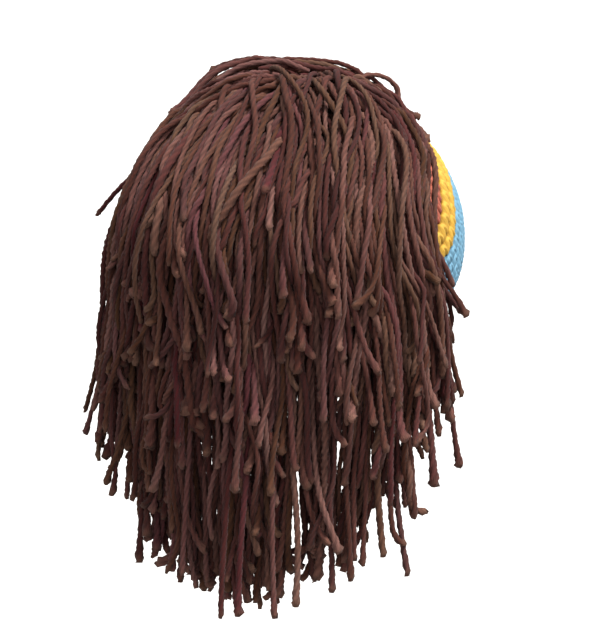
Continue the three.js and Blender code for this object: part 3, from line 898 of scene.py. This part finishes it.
def strand_paths(bag, strands, index, random):
    """The strands of one row before they settle. Each starts on the bag, rises to its own height
    in the row's layer, follows the bag's meridian and hangs. Past the dome it leans aside and
    draws together with its tuft."""
    row = LOCK_ROWS[index]
    number, span = row["strands"], row["span"]
    tuft = np.arange(number) // TUFT_STRANDS
    slot = (np.arange(number) + random.uniform(0.0, 1.0, number)) / number
    around = mix(-span, span, slot)
    tip, lean = strand_tips(strands, row, around, tuft, random)
    end = 90.0 + np.degrees(tip / bag.half_depth)
    root = root_fall(row, around) + random.uniform(*ROOT_SCATTER, number)
    if index == TOP_ROW:
        root = np.full(number, JOIN_ANGLE)
    share = np.linspace(0.0, 1.0, MERIDIAN_POINTS)[None, :]
    fall = mix(root[:, None], end[:, None], share)
    centre = (np.bincount(tuft, around) / np.bincount(tuft))[tuft]
    gather = TUFT_GATHER * (centre - around)
    aside = lean[:, None] * share**LEAN_POWER + gather[:, None] * smooth(share / GATHERED)
    aside = np.clip(around[:, None] + aside, -span - PAST_SPAN, span + PAST_SPAN)
    azimuth = aside * look_up(SPREAD, fall)
    if index == TOP_ROW:
        whorl_azimuth, whorl_fall = whorl(random, azimuth[:, 0], number)
        azimuth = np.concatenate((whorl_azimuth, azimuth), axis=1)
        fall = np.concatenate((whorl_fall, fall), axis=1)
        aside = azimuth / look_up(SPREAD, fall)
    lift = strand_lift(strands, index, aside, fall, tip, tuft, random)
    paths = over_bag(bag, azimuth, fall, lift, row["drift"])
    rooted = over_bag(bag, azimuth, fall, np.full_like(lift, ROOT_LIFT), row["drift"])
    paths = mix(rooted, paths, smooth(travelled(paths) / RISE_LENGTH)[..., None])
    return resample(paths, COARSE)


def whorl(random, azimuth, number):
    """How the top row's strands start. In a plan of the top, where the distance from the middle is
    the angle from the top, each starts in a disc, near the side that it leaves for, and bends
    with a quadratic curve to its own meridian."""
    turn = np.radians(azimuth) + random.normal(0.0, WHORL_SCATTER, number)
    reach = WHORL_RADIUS * np.sqrt(random.uniform(0.0, 1.0, number))
    start = np.stack((reach * np.sin(turn), WHORL_BACK + reach * np.cos(turn)), -1)
    target = JOIN_ANGLE * np.stack((np.sin(np.radians(azimuth)), np.cos(np.radians(azimuth))), -1)
    across, back = (target - start).T
    swing = random.normal(0.0, WHORL_SWING, number)
    cosine, sine = np.cos(swing), np.sin(swing)
    bent = np.stack((across * cosine - back * sine, across * sine + back * cosine), -1)
    middle = start + 0.5 * bent
    t = np.linspace(0.0, 1.0, WHORL_POINTS, endpoint=False)[None, :, None]
    plan = (1 - t) ** 2 * start[:, None] + 2 * t * (1 - t) * middle[:, None] + t**2 * target[:, None]
    return np.degrees(np.arctan2(plan[..., 0], plan[..., 1])), np.linalg.norm(plan, axis=2)


def stray_path(bag, index, stray):
    """One single strand, which leaves the bag slowly; its hooked end is a part of a circle."""
    share = np.linspace(0.0, 1.0, STRAY_POINTS)
    root = JOIN_ANGLE if index == TOP_ROW else root_fall(LOCK_ROWS[index], stray["azimuth"])
    fall = mix(root, 90.0 + math.degrees(stray["drop"] / bag.half_depth), share)
    azimuth = mix(stray["azimuth"], stray["tip_azimuth"], share**2)
    path = over_bag(bag, azimuth, fall, mix(STRAY_START, stray["lift"], share**LEAN_POWER), 0.0)
    if not stray["hook"]:
        return path
    bend = np.linspace(0.0, HOOK_TURN, HOOK_POINTS)[1:, None]
    end = math.radians(azimuth[-1])
    aside = np.sign(stray["tip_azimuth"]) * np.array((math.cos(end), -math.sin(end), 0.0))
    turned = (1 - np.cos(bend)) * aside - np.sin(bend) * (0.0, 0.0, 1.0)
    return np.concatenate((path, path[-1] + stray["hook"] / HOOK_TURN * turned))


def stray_paths(bag, index, random):
    """The single strands that belong to a row, and with the top row those that arch over it."""
    strays = (dict(zip(STRAY_COLUMNS, values)) for values in STRAYS)
    name = LOCK_ROWS[index]["name"]
    paths = [stray_path(bag, index, stray) for stray in strays if stray["row"] == name]
    if index == TOP_ROW:
        paths += [smooth_paths(from_view(points)[None], ARCH_POINTS)[0] for points in ARCHES]
    paths = resample(paths, COARSE)
    return paths + np.linspace(0.0, 1.0, COARSE)[None, :, None] * waves(random, paths, STRAY_SWING)


def close_pairs(points, reach):
    """All pairs of points closer than reach, found by sorting them into cubes of that size: each
    cube is compared with itself and with the 13 neighbours that come after it."""
    cell = np.floor((points - points.min(axis=0)) / reach).astype(np.int64) + 1
    size = cell.max(axis=0) + 2
    key = (cell[:, 0] * size[1] + cell[:, 1]) * size[2] + cell[:, 2]
    order = np.argsort(key, kind="stable")
    ordered = key[order]
    firsts, seconds = [], []
    for shift in itertools.product((0, 1), (-1, 0, 1), (-1, 0, 1)):
        if shift < (0, 0, 0):
            continue
        shifted = key + (shift[0] * size[1] + shift[1]) * size[2] + shift[2]
        low = np.searchsorted(ordered, shifted, "left")
        many = np.searchsorted(ordered, shifted, "right") - low
        first = np.repeat(np.arange(len(points)), many)
        start = np.repeat(low - (np.cumsum(many) - many), many)
        second = order[start + np.arange(len(first))]
        near = ((points[first] - points[second]) ** 2).sum(axis=1) < reach * reach
        if shift == (0, 0, 0):
            near &= second > first
        firsts.append(first[near])
        seconds.append(second[near])
    return np.concatenate(firsts), np.concatenate(seconds)


def parted(points, owner, radius):
    """Points moved away from close points of other strands, the less the more of them touch."""
    first, second = close_pairs(points, 2 * radius)
    other = owner[first] != owner[second]
    first, second = first[other], second[other]
    gap = points[first] - points[second]
    far = np.linalg.norm(gap, axis=1, keepdims=True) + 1e-9
    push = gap / far * (2 * radius - far) * PART_SHARE
    number = len(points)
    ways = [np.bincount(first, way, number) - np.bincount(second, way, number) for way in push.T]
    touching = np.bincount(first, minlength=number) + np.bincount(second, minlength=number)
    return points + np.stack(ways, -1) / np.maximum(1.0, touching / CROWDED)[:, None]


def settle(bag, points, radius, rounds):
    """Pushes strands apart until they lie side by side: each round parts close points of
    different strands, keeps them off the bag, restores the lengths and eases sharp bends."""
    strands, count = points.shape[:2]
    owner = np.repeat(np.arange(strands), count)
    step = step_lengths(points)[..., None]
    held = points[:, :3].copy()
    shape = 1.0 / (np.array((bag.half_width, bag.half_depth, bag.rise)) + radius)
    home = points.copy()
    for _ in range(rounds):
        flat = parted(points.reshape(-1, 3), owner, radius)
        scaled = flat * shape * np.where(flat[:, 2:] > 0, 1.0, (1.0, 1.0, SAG_SHAPE))
        depth = np.linalg.norm(scaled, axis=1, keepdims=True)
        flat = np.where(depth < 1.0, flat / np.maximum(depth, DEEPEST), flat)
        points = behind_edge(bag, flat).reshape(strands, count, 3)
        points = points + HOME_PULL * (home - points)
        points[:, 1:-1] += UNBEND * (0.5 * (points[:, 2:] + points[:, :-2]) - points[:, 1:-1])
        for start in (0, 1):
            a, b = points[:, start:-1:2], points[:, start + 1 :: 2]
            far = np.linalg.norm(b - a, axis=2, keepdims=True) + 1e-9
            fix = (b - a) / far * (far - step[:, start::2]) * 0.5
            points[:, start:-1:2] = a + fix
            points[:, start + 1 :: 2] = b - fix
        points[:, :3] = held
    return points


def behind_edge(bag, points):
    """Turns the points in front of the hair's edge back to it about the bag's axis. A point's
    angle from the top is that of its ray, and below the middle 90 degrees and its drop's arc."""
    across = np.linalg.norm(points[:, :2], axis=1)
    above = np.degrees(np.arctan2(across, points[:, 2]))
    fall = np.where(points[:, 2] > 0.0, above, 90.0 - np.degrees(points[:, 2] / bag.half_depth))
    edge = np.radians(look_up(EDGE, fall))
    azimuth = np.clip(np.arctan2(points[:, 0], points[:, 1]), -edge, edge)
    return np.stack((across * np.sin(azimuth), across * np.cos(azimuth), points[:, 2]), -1)


def drawn_in(bag, points, reach):
    """Draws in what stands further out than reach from the bag's side: seen from above, points
    outside an oval round the bag move straight towards its axis onto the oval."""
    oval = np.array((bag.half_width + reach, bag.half_depth + reach))
    out = np.linalg.norm(points[..., :2] / oval, axis=-1, keepdims=True)
    drawn = points.copy()
    drawn[..., :2] /= np.maximum(out, 1.0)
    return drawn


def curl_tips(random, points):
    """Bends the last stretch of some strands sideways, like a hook or a kink in stiff yarn: each
    step is turned about a level axis by the angle that the bend has reached."""
    number, count = points.shape[:2]
    chosen = np.nonzero(random.uniform(0.0, 1.0, number) < CURL_SHARE)[0]
    many = len(chosen)
    bend_from = 1.0 - random.uniform(*CURL_LENGTH, many) / step_lengths(points[chosen]).sum(axis=1)
    swing = random.uniform(*CURL_TURN, many) * random.choice((-1.0, 1.0), many)
    heading = random.uniform(0.0, 2 * math.pi, many)
    along = np.linspace(0.0, 1.0, count)[None, :]
    bend = smooth((along - bend_from[:, None]) / (1.0 - bend_from[:, None])) * swing[:, None]
    step = np.diff(points[chosen], axis=1)
    axis = np.stack((np.cos(heading), np.sin(heading), np.zeros(many)), -1)[:, None]
    angle = bend[:, 1:, None]
    square = np.cross(np.broadcast_to(axis, step.shape), step)
    kept = axis * (axis * step).sum(axis=2, keepdims=True)
    turned = step * np.cos(angle) + square * np.sin(angle) + kept * (1 - np.cos(angle))
    points = points.copy()
    points[chosen, 1:] = points[chosen, :1] + np.cumsum(turned, axis=1)
    return points


def ring_frames(centres):
    """At each point of each path its direction and two more square to it, carried along the path
    without spinning."""
    tangent = unit(np.gradient(centres, axis=1))
    normal = np.empty_like(tangent)
    normal[:, 0] = unit(np.cross(tangent[:, 0], ANY_WAY))
    for i in range(1, centres.shape[1]):
        carried = normal[:, i - 1]
        carried = carried - (carried * tangent[:, i]).sum(axis=1, keepdims=True) * tangent[:, i]
        normal[:, i] = unit(carried)
    return tangent, normal, np.cross(tangent, normal)


def tube_mesh(centres, radii, lobe, ragged, turn_length):
    """Tubes round paths. A ring of points stands square to each path and turns with the plies;
    every second point of a ring stands out as a ply. The ends are closed by a middle point. Also
    gives the UV of each face corner: round the tube, and along it in tenths of a metre."""
    number, count = centres.shape[:2]
    tangent, normal, across = ring_frames(centres)
    far = travelled(centres)
    angle = 2 * math.pi * (far[..., None] / turn_length + np.arange(SIDES) / SIDES)
    ply = np.where(np.arange(SIDES) % 2 == 0, 1.0, -1.0) * lobe[..., None]
    reach = (radii[..., None] * (1.0 + ply) * ragged)[..., None]
    around = np.cos(angle)[..., None] * normal[:, :, None] + np.sin(angle)[..., None] * across[:, :, None]
    ring = centres[:, :, None] + reach * around
    ends = np.concatenate((centres[:, 0], centres[:, -1] + TIP_LENGTH * tangent[:, -1]))

    strand, station, side = np.indices((number, count - 1, SIDES))
    base = (strand * count + station) * SIDES
    beside = (side + 1) % SIDES
    quads = np.stack((base + side, base + beside, base + SIDES + beside, base + SIDES + side), -1)
    strand, side = np.indices((number, SIDES))
    beside = (side + 1) % SIDES
    first, last = strand * count * SIDES, (strand * count + count - 1) * SIDES
    root, tip = number * count * SIDES + strand, number * (count * SIDES + 1) + strand
    roots = np.stack((root, first + beside, first + side), -1).reshape(-1, 3)
    tips = np.stack((tip, last + side, last + beside), -1).reshape(-1, 3)

    share = np.arange(SIDES) / SIDES
    corner_u = np.stack((share, share + 1 / SIDES, share + 1 / SIDES, share), -1)
    corner_v = np.stack((far[:, :-1], far[:, :-1], far[:, 1:], far[:, 1:]), -1)[:, :, None]
    wall = np.stack(np.broadcast_arrays(corner_u, corner_v * 10.0), -1).reshape(-1, 2)
    caps = np.zeros((2 * number * SIDES * 3, 2))
    points = np.concatenate((ring.reshape(-1, 3), ends))
    return points, quads, np.concatenate((roots, tips)), np.concatenate((wall, caps))


def lock_pieces(bag, strands, material):
    """All rows of dreadlocks: paths over the bag, settled against each other, as twisted tubes."""
    random = np.random.default_rng(strands.seed)
    share = np.linspace(0.0, 1.0, COARSE)[None, :, None]
    ease = smooth(share / 0.5) * SWING_GROWTH * (1.0 + share)
    rows = []
    for index in range(len(LOCK_ROWS)):
        paths = strand_paths(bag, strands, index, random)
        paths = paths + ease * waves(random, paths, STRAND_SWING)
        paths = drawn_in(bag, curl_tips(random, paths), strands.reach)
        rows.append(np.concatenate((paths, stray_paths(bag, index, random))))
    ends = np.cumsum([len(row) for row in rows])
    rounds = SETTLE_ROUNDS
    points = settle(bag, np.concatenate(rows), strands.radius * ROOM, rounds)
    for index, paths in enumerate(np.split(points, ends[:-1])):
        lock_piece(bag, strands, index, paths, random, material)


def lock_piece(bag, strands, index, coarse, random, material):
    """One row's strands as one piece that stands for the row's solid: tubes that start thin, are
    of uneven thickness, and swell, fray and close again at the tip."""
    name = LOCK_ROWS[index]["name"]
    number, count = len(coarse), FINE
    fine = smooth_paths(coarse, count)
    fine[..., 2] = np.maximum(fine[..., 2], -strands.drop * LOWEST)
    along = np.linspace(0.0, 1.0, count)[None, :]
    to_tip = (1.0 - along) * step_lengths(fine).sum(axis=1)[:, None]
    thickness = random.uniform(*THICKNESS, number)[:, None]
    thickness[random.uniform(0.0, 1.0, number) < THICK_SHARE] *= THICKER
    frayed = smooth(1.0 - to_tip / FRAY_LENGTH)
    flare = random.uniform(0.0, MOST_FLARE, number)[:, None] * smooth(1.0 - to_tip / FLARE_LENGTH)
    closing = mix(TIP_WIDTH, 1.0, smooth(to_tip / CLOSING_LENGTH))
    opening = mix(ROOT_WIDTH, 1.0, smooth(along / ROOT_SHARE))
    radii = strands.radius * thickness * (1.0 + flare) * closing * opening
    lobe = strands.lobe * (1.0 + FRAYED_PLY * frayed)
    uneven = random.normal(0.0, 1.0, (number, count, SIDES)).clip(-1.5, 1.5)
    ragged = 1.0 + RAGGED * frayed[..., None] * uneven
    points, quads, triangles, uv = tube_mesh(fine, radii, lobe, ragged, strands.turn)
    points = points + bag_middle(bag)
    nodes = (f"dreads_{name}_row",)
    piece = make_piece(f"dreads_{name}_strands", points, quads, triangles, material, nodes)
    set_uv(piece, "strand", uv)
    for attribute in ("tone", "shade"):
        value = random.uniform(0.0, 1.0, number)
        set_attribute(piece, attribute, np.concatenate((np.repeat(value, count * SIDES), value, value)))
    fray = np.repeat(frayed.ravel(), SIDES)
    set_attribute(piece, "fray", np.concatenate((fray, np.zeros(number), np.ones(number))))


# Materials


def fill(tree, socket, value):
    """Links an input to a socket, or gives it a number or colour."""
    if isinstance(value, bpy.types.NodeSocket):
        tree.links.new(value, socket)
    else:
        socket.default_value = value


def place(tree, kind, inputs=None, **values):
    """Adds a node, sets its values by name and fills its inputs by name or number."""
    node = tree.nodes.new(kind)
    for name, value in values.items():
        setattr(node, name, value)
    for name, value in (inputs or {}).items():
        fill(tree, node.inputs[name], value)
    return node


def maths(tree, operation, *inputs):
    """A Math node whose inputs are numbers or sockets; gives its output."""
    return place(tree, "ShaderNodeMath", dict(enumerate(inputs)), operation=operation).outputs[0]


def blend_colours(tree, share, first, second):
    """A Mix node for colours; gives its output."""
    inputs = {0: share, 6: first, 7: second}
    return place(tree, "ShaderNodeMix", inputs, data_type="RGBA", blend_type="MIX").outputs[2]


def stored_value(tree, name):
    """The value of a mesh attribute."""
    return place(tree, "ShaderNodeAttribute", attribute_name=name).outputs["Fac"]


def screen(*colour):
    """A screen colour of 0 to 255 as an opaque linear one."""
    return (*linear(*colour), 1.0)


def fibre_group():
    """Wool fibres: fine flecks of lighter and darker hair, and a fine rough height, both finer
    than the yarn. Colour in, colour, roughness and height out."""
    group = bpy.data.node_groups.new("Wool fibres", "ShaderNodeTree")
    sockets = group.interface.new_socket
    sockets("Colour", in_out="INPUT", socket_type="NodeSocketColor").default_value = (0.2, 0.2, 0.2, 1.0)
    sockets("Vector", in_out="INPUT", socket_type="NodeSocketVector")
    sockets("Fleck", in_out="INPUT", socket_type="NodeSocketFloat").default_value = 0.3
    sockets("Colour", in_out="OUTPUT", socket_type="NodeSocketColor")
    sockets("Roughness", in_out="OUTPUT", socket_type="NodeSocketFloat")
    sockets("Height", in_out="OUTPUT", socket_type="NodeSocketFloat")
    given = place(group, "NodeGroupInput").outputs
    noise = {"Vector": given["Vector"], "Scale": 1.0, "Detail": 3.0, "Roughness": 0.65}
    fine = place(group, "ShaderNodeTexNoise", noise).outputs[0]
    swing = maths(group, "MULTIPLY", maths(group, "SUBTRACT", fine, 0.5), given["Fleck"])
    value = maths(group, "MULTIPLY_ADD", swing, 4.0, 1.0)
    tint = place(group, "ShaderNodeHueSaturation", {"Color": given["Colour"], "Value": value})
    rough = maths(group, "MULTIPLY_ADD", fine, 0.2, 0.75)
    place(group, "NodeGroupOutput", {"Colour": tint.outputs[0], "Roughness": rough, "Height": fine})
    return group


def finish_yarn(material, colour, vector, fleck, height, strength):
    """Ends a yarn material: fibres over the colour, a bump from the fibres and the given height,
    and a soft sheen set on the shader itself."""
    tree = material.node_tree
    given = {"Colour": colour, "Vector": vector, "Fleck": fleck}
    fibres = place(tree, "ShaderNodeGroup", given, node_tree=bpy.data.node_groups["Wool fibres"]).outputs
    total = maths(tree, "MULTIPLY_ADD", fibres["Height"], 0.5, height)
    bump = place(tree, "ShaderNodeBump", {"Strength": strength, "Distance": BUMP_DISTANCE, "Height": total})
    looks = {
        "Base Color": fibres["Colour"],
        "Roughness": fibres["Roughness"],
        "Normal": bump.outputs[0],
        "Specular IOR Level": 0.3,
        "Sheen Weight": 0.06,
        "Sheen Roughness": 0.45,
    }
    for name, value in looks.items():
        fill(tree, tree.nodes["Principled BSDF"].inputs[name], value)


def new_material(name):
    """An empty node material."""
    material = bpy.data.materials.new(name)
    material.use_nodes = True
    return material


def crochet_yarn(name, colour):
    """Crocheted yarn: the colour, with painted shade that darkens it where the stitches are low, in the
    grooves between stitches and ribs, a little uneven from stitch to stitch, with a twist of fine plies."""
    material = new_material(name)
    tree = material.node_tree
    spot = place(tree, "ShaderNodeTexCoord").outputs["Object"]
    patches = place(tree, "ShaderNodeTexNoise", {"Vector": spot, "Scale": 90.0, "Detail": 2.0}).outputs[0]
    crest = {"Value": stored_value(tree, "crest"), "From Min": 0.05, "From Max": 0.7}
    free_of_painted_shade = place(tree, "ShaderNodeMapRange", crest, interpolation_type="SMOOTHSTEP").outputs[0]
    # Painted shade: a darker, deeper colour, blended in where the crest is low, in the grooves and on the
    # inner walls.
    deep = tuple(value**1.4 * 0.42 for value in colour)
    base = blend_colours(tree, free_of_painted_shade, (*deep, 1.0), (*colour, 1.0))
    value = maths(tree, "MULTIPLY_ADD", patches, 0.36, 0.82)
    uneven = place(tree, "ShaderNodeHueSaturation", {"Color": base, "Value": value}).outputs[0]
    bands = {"Vector": spot, "Scale": 260.0, "Distortion": 2.5, "Detail": 1.0}
    twist = place(tree, "ShaderNodeTexWave", bands, wave_type="BANDS", bands_direction="DIAGONAL")
    fine = place(tree, "ShaderNodeMapping", {"Vector": spot, "Scale": (1500.0, 1500.0, 1500.0)}).outputs[0]
    finish_yarn(material, uneven, fine, 0.12, twist.outputs["Fac"], 0.5)
    return material


def dread_yarn():
    """Plied brown yarn: each strand has its own brown, from olive to maroon, with painted shade
    between the plies, lighter at its frayed end, and with fibres that run round the plies."""
    material = new_material("Dread yarn")
    tree = material.node_tree
    tone, shade, fray = (stored_value(tree, name) for name in ("tone", "shade", "fray"))
    uv = place(tree, "ShaderNodeUVMap", uv_map="strand").outputs[0]
    around, along, _ = place(tree, "ShaderNodeSeparateXYZ", {0: uv}).outputs
    browns = place(tree, "ShaderNodeValToRGB", {0: tone})
    ramp = browns.color_ramp.elements
    ramp[0].color = screen(*DREAD_BROWNS[0][1:])
    ramp[1].color = screen(*DREAD_BROWNS[-1][1:])
    for position, *colour in DREAD_BROWNS[1:-1]:
        ramp.new(position).color = screen(*colour)
    spots = {0: maths(tree, "MULTIPLY", along, 3.2), 1: maths(tree, "MULTIPLY", shade, 57.0)}
    spots = place(tree, "ShaderNodeCombineXYZ", spots).outputs[0]
    patches = place(tree, "ShaderNodeTexNoise", {"Vector": spots, "Scale": 1.0, "Detail": 2.0}).outputs[0]
    bright = maths(tree, "MULTIPLY_ADD", patches, 0.78, maths(tree, "MULTIPLY_ADD", shade, 0.68, 0.24))
    lively = maths(tree, "MULTIPLY_ADD", bright, -0.4, 1.44)
    own = {"Color": browns.outputs[0], "Value": bright, "Saturation": lively}
    own = place(tree, "ShaderNodeHueSaturation", own).outputs[0]
    # Painted shade between the plies: a dark brown, blended in halfway, where the plies' cosine is low.
    ply = maths(tree, "COSINE", maths(tree, "MULTIPLY", around, SIDES * math.pi))
    between = blend_colours(tree, maths(tree, "MULTIPLY_ADD", ply, 0.5, 0.5), screen(46, 28, 26), own)
    base = blend_colours(tree, 0.5, own, between)
    frayed = blend_colours(tree, maths(tree, "MULTIPLY", fray, 0.35), base, screen(150, 112, 92))
    slant = maths(tree, "MULTIPLY_ADD", around, 18.0, maths(tree, "MULTIPLY", along, 60.0))
    fibre = {0: slant, 1: maths(tree, "MULTIPLY", along, 22.0), 2: maths(tree, "MULTIPLY", tone, 91.0)}
    fibre = place(tree, "ShaderNodeCombineXYZ", fibre).outputs[0]
    lines = maths(tree, "SINE", maths(tree, "MULTIPLY", slant, 5.0))
    finish_yarn(material, frayed, fibre, 0.22, maths(tree, "MULTIPLY", lines, 0.25), 0.6)
    return material


# Operators


def need(met, message):
    """Stops a step that can't be finished, with the reason."""
    if not met:
        raise RuntimeError(message)


class TamRounds(bpy.types.Operator):
    """Crochet the crown and the coloured rounds of the bag"""

    bl_idname = "tam.rounds"
    bl_label = "Crochet the rounds"

    def execute(self, context):
        scene = context.scene
        need(min(scene.tam_bag.half_width, scene.tam_bag.half_depth) > 0.0, "The bag has no width or depth")
        fibre_group()
        for values in CROCHET:
            row = dict(zip(CROCHET_COLUMNS, values))
            colour = getattr(scene.tam_colours, row["colour"])
            material = crochet_yarn(f"{row['colour'].capitalize()} crochet yarn", colour)
            crochet_piece(scene.tam_bag, scene.tam_stitches, row, material)
        return {"FINISHED"}


class TamBand(bpy.types.Operator):
    """Knit the ribbed head band"""

    bl_idname = "tam.band"
    bl_label = "Knit the head band"

    def execute(self, context):
        scene = context.scene
        need("Wool fibres" in bpy.data.node_groups, "Crochet the rounds first: they make the yarn's fibres")
        band_piece(scene.tam_bag, scene.tam_stitches, crochet_yarn("Band yarn", scene.tam_colours.brown))
        return {"FINISHED"}


class TamDreads(bpy.types.Operator):
    """Hang the rows of dreadlocks from the crown"""

    bl_idname = "tam.dreads"
    bl_label = "Hang the dreadlocks"

    def execute(self, context):
        scene = context.scene
        need("Wool fibres" in bpy.data.node_groups, "Crochet the rounds first: they make the yarn's fibres")
        need(scene.tam_strands.radius > 0.0, "The dreadlocks have no thickness")
        lock_pieces(scene.tam_bag, scene.tam_strands, dread_yarn())
        return {"FINISHED"}


def soft_sun(name, towards, spread, strength, colour):
    """A broad, far light that shines from a direction, as wide as spread in degrees."""
    light = bpy.data.lights.new(name, "SUN")
    light.angle = math.radians(spread)
    light.energy = strength
    light.color = colour
    lamp = link_object(name, light)
    lamp.location = towards
    lamp.rotation_euler = (-towards).to_track_quat("-Z", "Y").to_euler()


def set_camera(scene, middle, right, up, back):
    """The camera that sees the hat as the photo's does."""
    camera = bpy.data.cameras.new("Camera")
    camera.sensor_fit = "VERTICAL"
    camera.sensor_height = SENSOR
    camera.lens = PIXELS_A_METRE * EYE_DISTANCE * SENSOR / PICTURE_HEIGHT
    camera.clip_end = 200.0
    scene.camera = link_object("Camera", camera)
    scene.camera.location = middle - AIM_LEFT * right - AIM_BELOW * up + EYE_DISTANCE * back
    scene.camera.rotation_euler = (-back).to_track_quat("-Z", "Y").to_euler()


def lay_floor():
    """A floor that the camera sees nearly white and the light sees grey."""
    mesh = bpy.data.meshes.new("floor")
    low = CAD_BOX[0][2] - FLOOR_BELOW
    corners = [(x * FLOOR_HALF, y * FLOOR_HALF, low) for x, y in ((-1, -1), (1, -1), (1, 1), (-1, 1))]
    mesh.from_pydata(corners, [], [(0, 1, 2, 3)])
    floor = link_object("floor", mesh)
    paper = new_material("Pale floor")
    tree = paper.node_tree
    seen = place(tree, "ShaderNodeLightPath").outputs["Is Camera Ray"]
    shade = blend_colours(tree, seen, (0.22, 0.22, 0.22, 1.0), (0.95, 0.95, 0.95, 1.0))
    for name, value in {"Base Color": shade, "Roughness": 0.9, "Specular IOR Level": 0.0}.items():
        fill(tree, tree.nodes["Principled BSDF"].inputs[name], value)
    mesh.materials.append(paper)


def light_sky(scene):
    """A white sky, which the camera sees brighter than it shines."""
    world = bpy.data.worlds.new("Studio")
    scene.world = world
    world.use_nodes = True
    tree = world.node_tree
    sky = tree.nodes["Background"].inputs
    sky[0].default_value = (1.0, 1.0, 1.0, 1.0)
    seen = place(tree, "ShaderNodeLightPath").outputs["Is Camera Ray"]
    fill(tree, sky[1], maths(tree, "MULTIPLY_ADD", seen, SKY_SEEN - SKY_SHINES, SKY_SHINES))


class TamStage(bpy.types.Operator):
    """Set the floor, the light and the camera"""

    bl_idname = "tam.stage"
    bl_label = "Set the stage"

    def execute(self, context):
        scene = context.scene
        need(scene.camera is None, "The stage is set already")
        right, up, back = (Vector(way) for way in view_directions())
        set_camera(scene, Vector(bag_middle(scene.tam_bag)), right, up, back)
        lay_floor()
        light_sky(scene)
        flat = Vector((back.x, back.y, 0.0)).normalized()
        for name, near, aside, high, *looks in LIGHTS:
            soft_sun(name, flat * near + right * aside + Vector((0.0, 0.0, high)), *looks)
        scene.view_settings.view_transform = "Standard"
        return {"FINISHED"}


class TamPanel(bpy.types.Panel):
    """Sizes, colours and steps of the tam"""

    bl_idname = "VIEW3D_PT_tam"
    bl_label = "Tam"
    bl_space_type = "VIEW_3D"
    bl_region_type = "UI"
    bl_category = "Tam"

    def draw(self, context):
        for name in PROPERTY_GROUPS:
            group = getattr(context.scene, name)
            box = self.layout.box()
            for key in group.bl_rna.properties.keys():
                if key not in ("rna_type", "name"):
                    box.prop(group, key)
        for operator in OPERATORS:
            self.layout.operator(operator.bl_idname)


PROPERTY_GROUPS = {
    "tam_bag": TamBagSizes,
    "tam_stitches": TamStitchSizes,
    "tam_strands": TamStrandSizes,
    "tam_colours": TamColours,
}
OPERATORS = (TamRounds, TamBand, TamDreads, TamStage)


def register():
    """Registers the classes and hangs the sizes on the scene."""
    for name, group in PROPERTY_GROUPS.items():
        bpy.utils.register_class(group)
        setattr(bpy.types.Scene, name, bpy.props.PointerProperty(type=group))
    for cls in (*OPERATORS, TamPanel):
        bpy.utils.register_class(cls)


def unregister():
    """Undoes register."""
    for cls in (TamPanel, *reversed(OPERATORS)):
        bpy.utils.unregister_class(cls)
    for name, group in PROPERTY_GROUPS.items():
        delattr(bpy.types.Scene, name)
        bpy.utils.unregister_class(group)


def main():
    """Builds every piece in order."""
    register()
    bpy.ops.tam.rounds()
    bpy.ops.tam.band()
    bpy.ops.tam.dreads()
    bpy.ops.tam.stage()


if __name__ == "__main__":
    main()
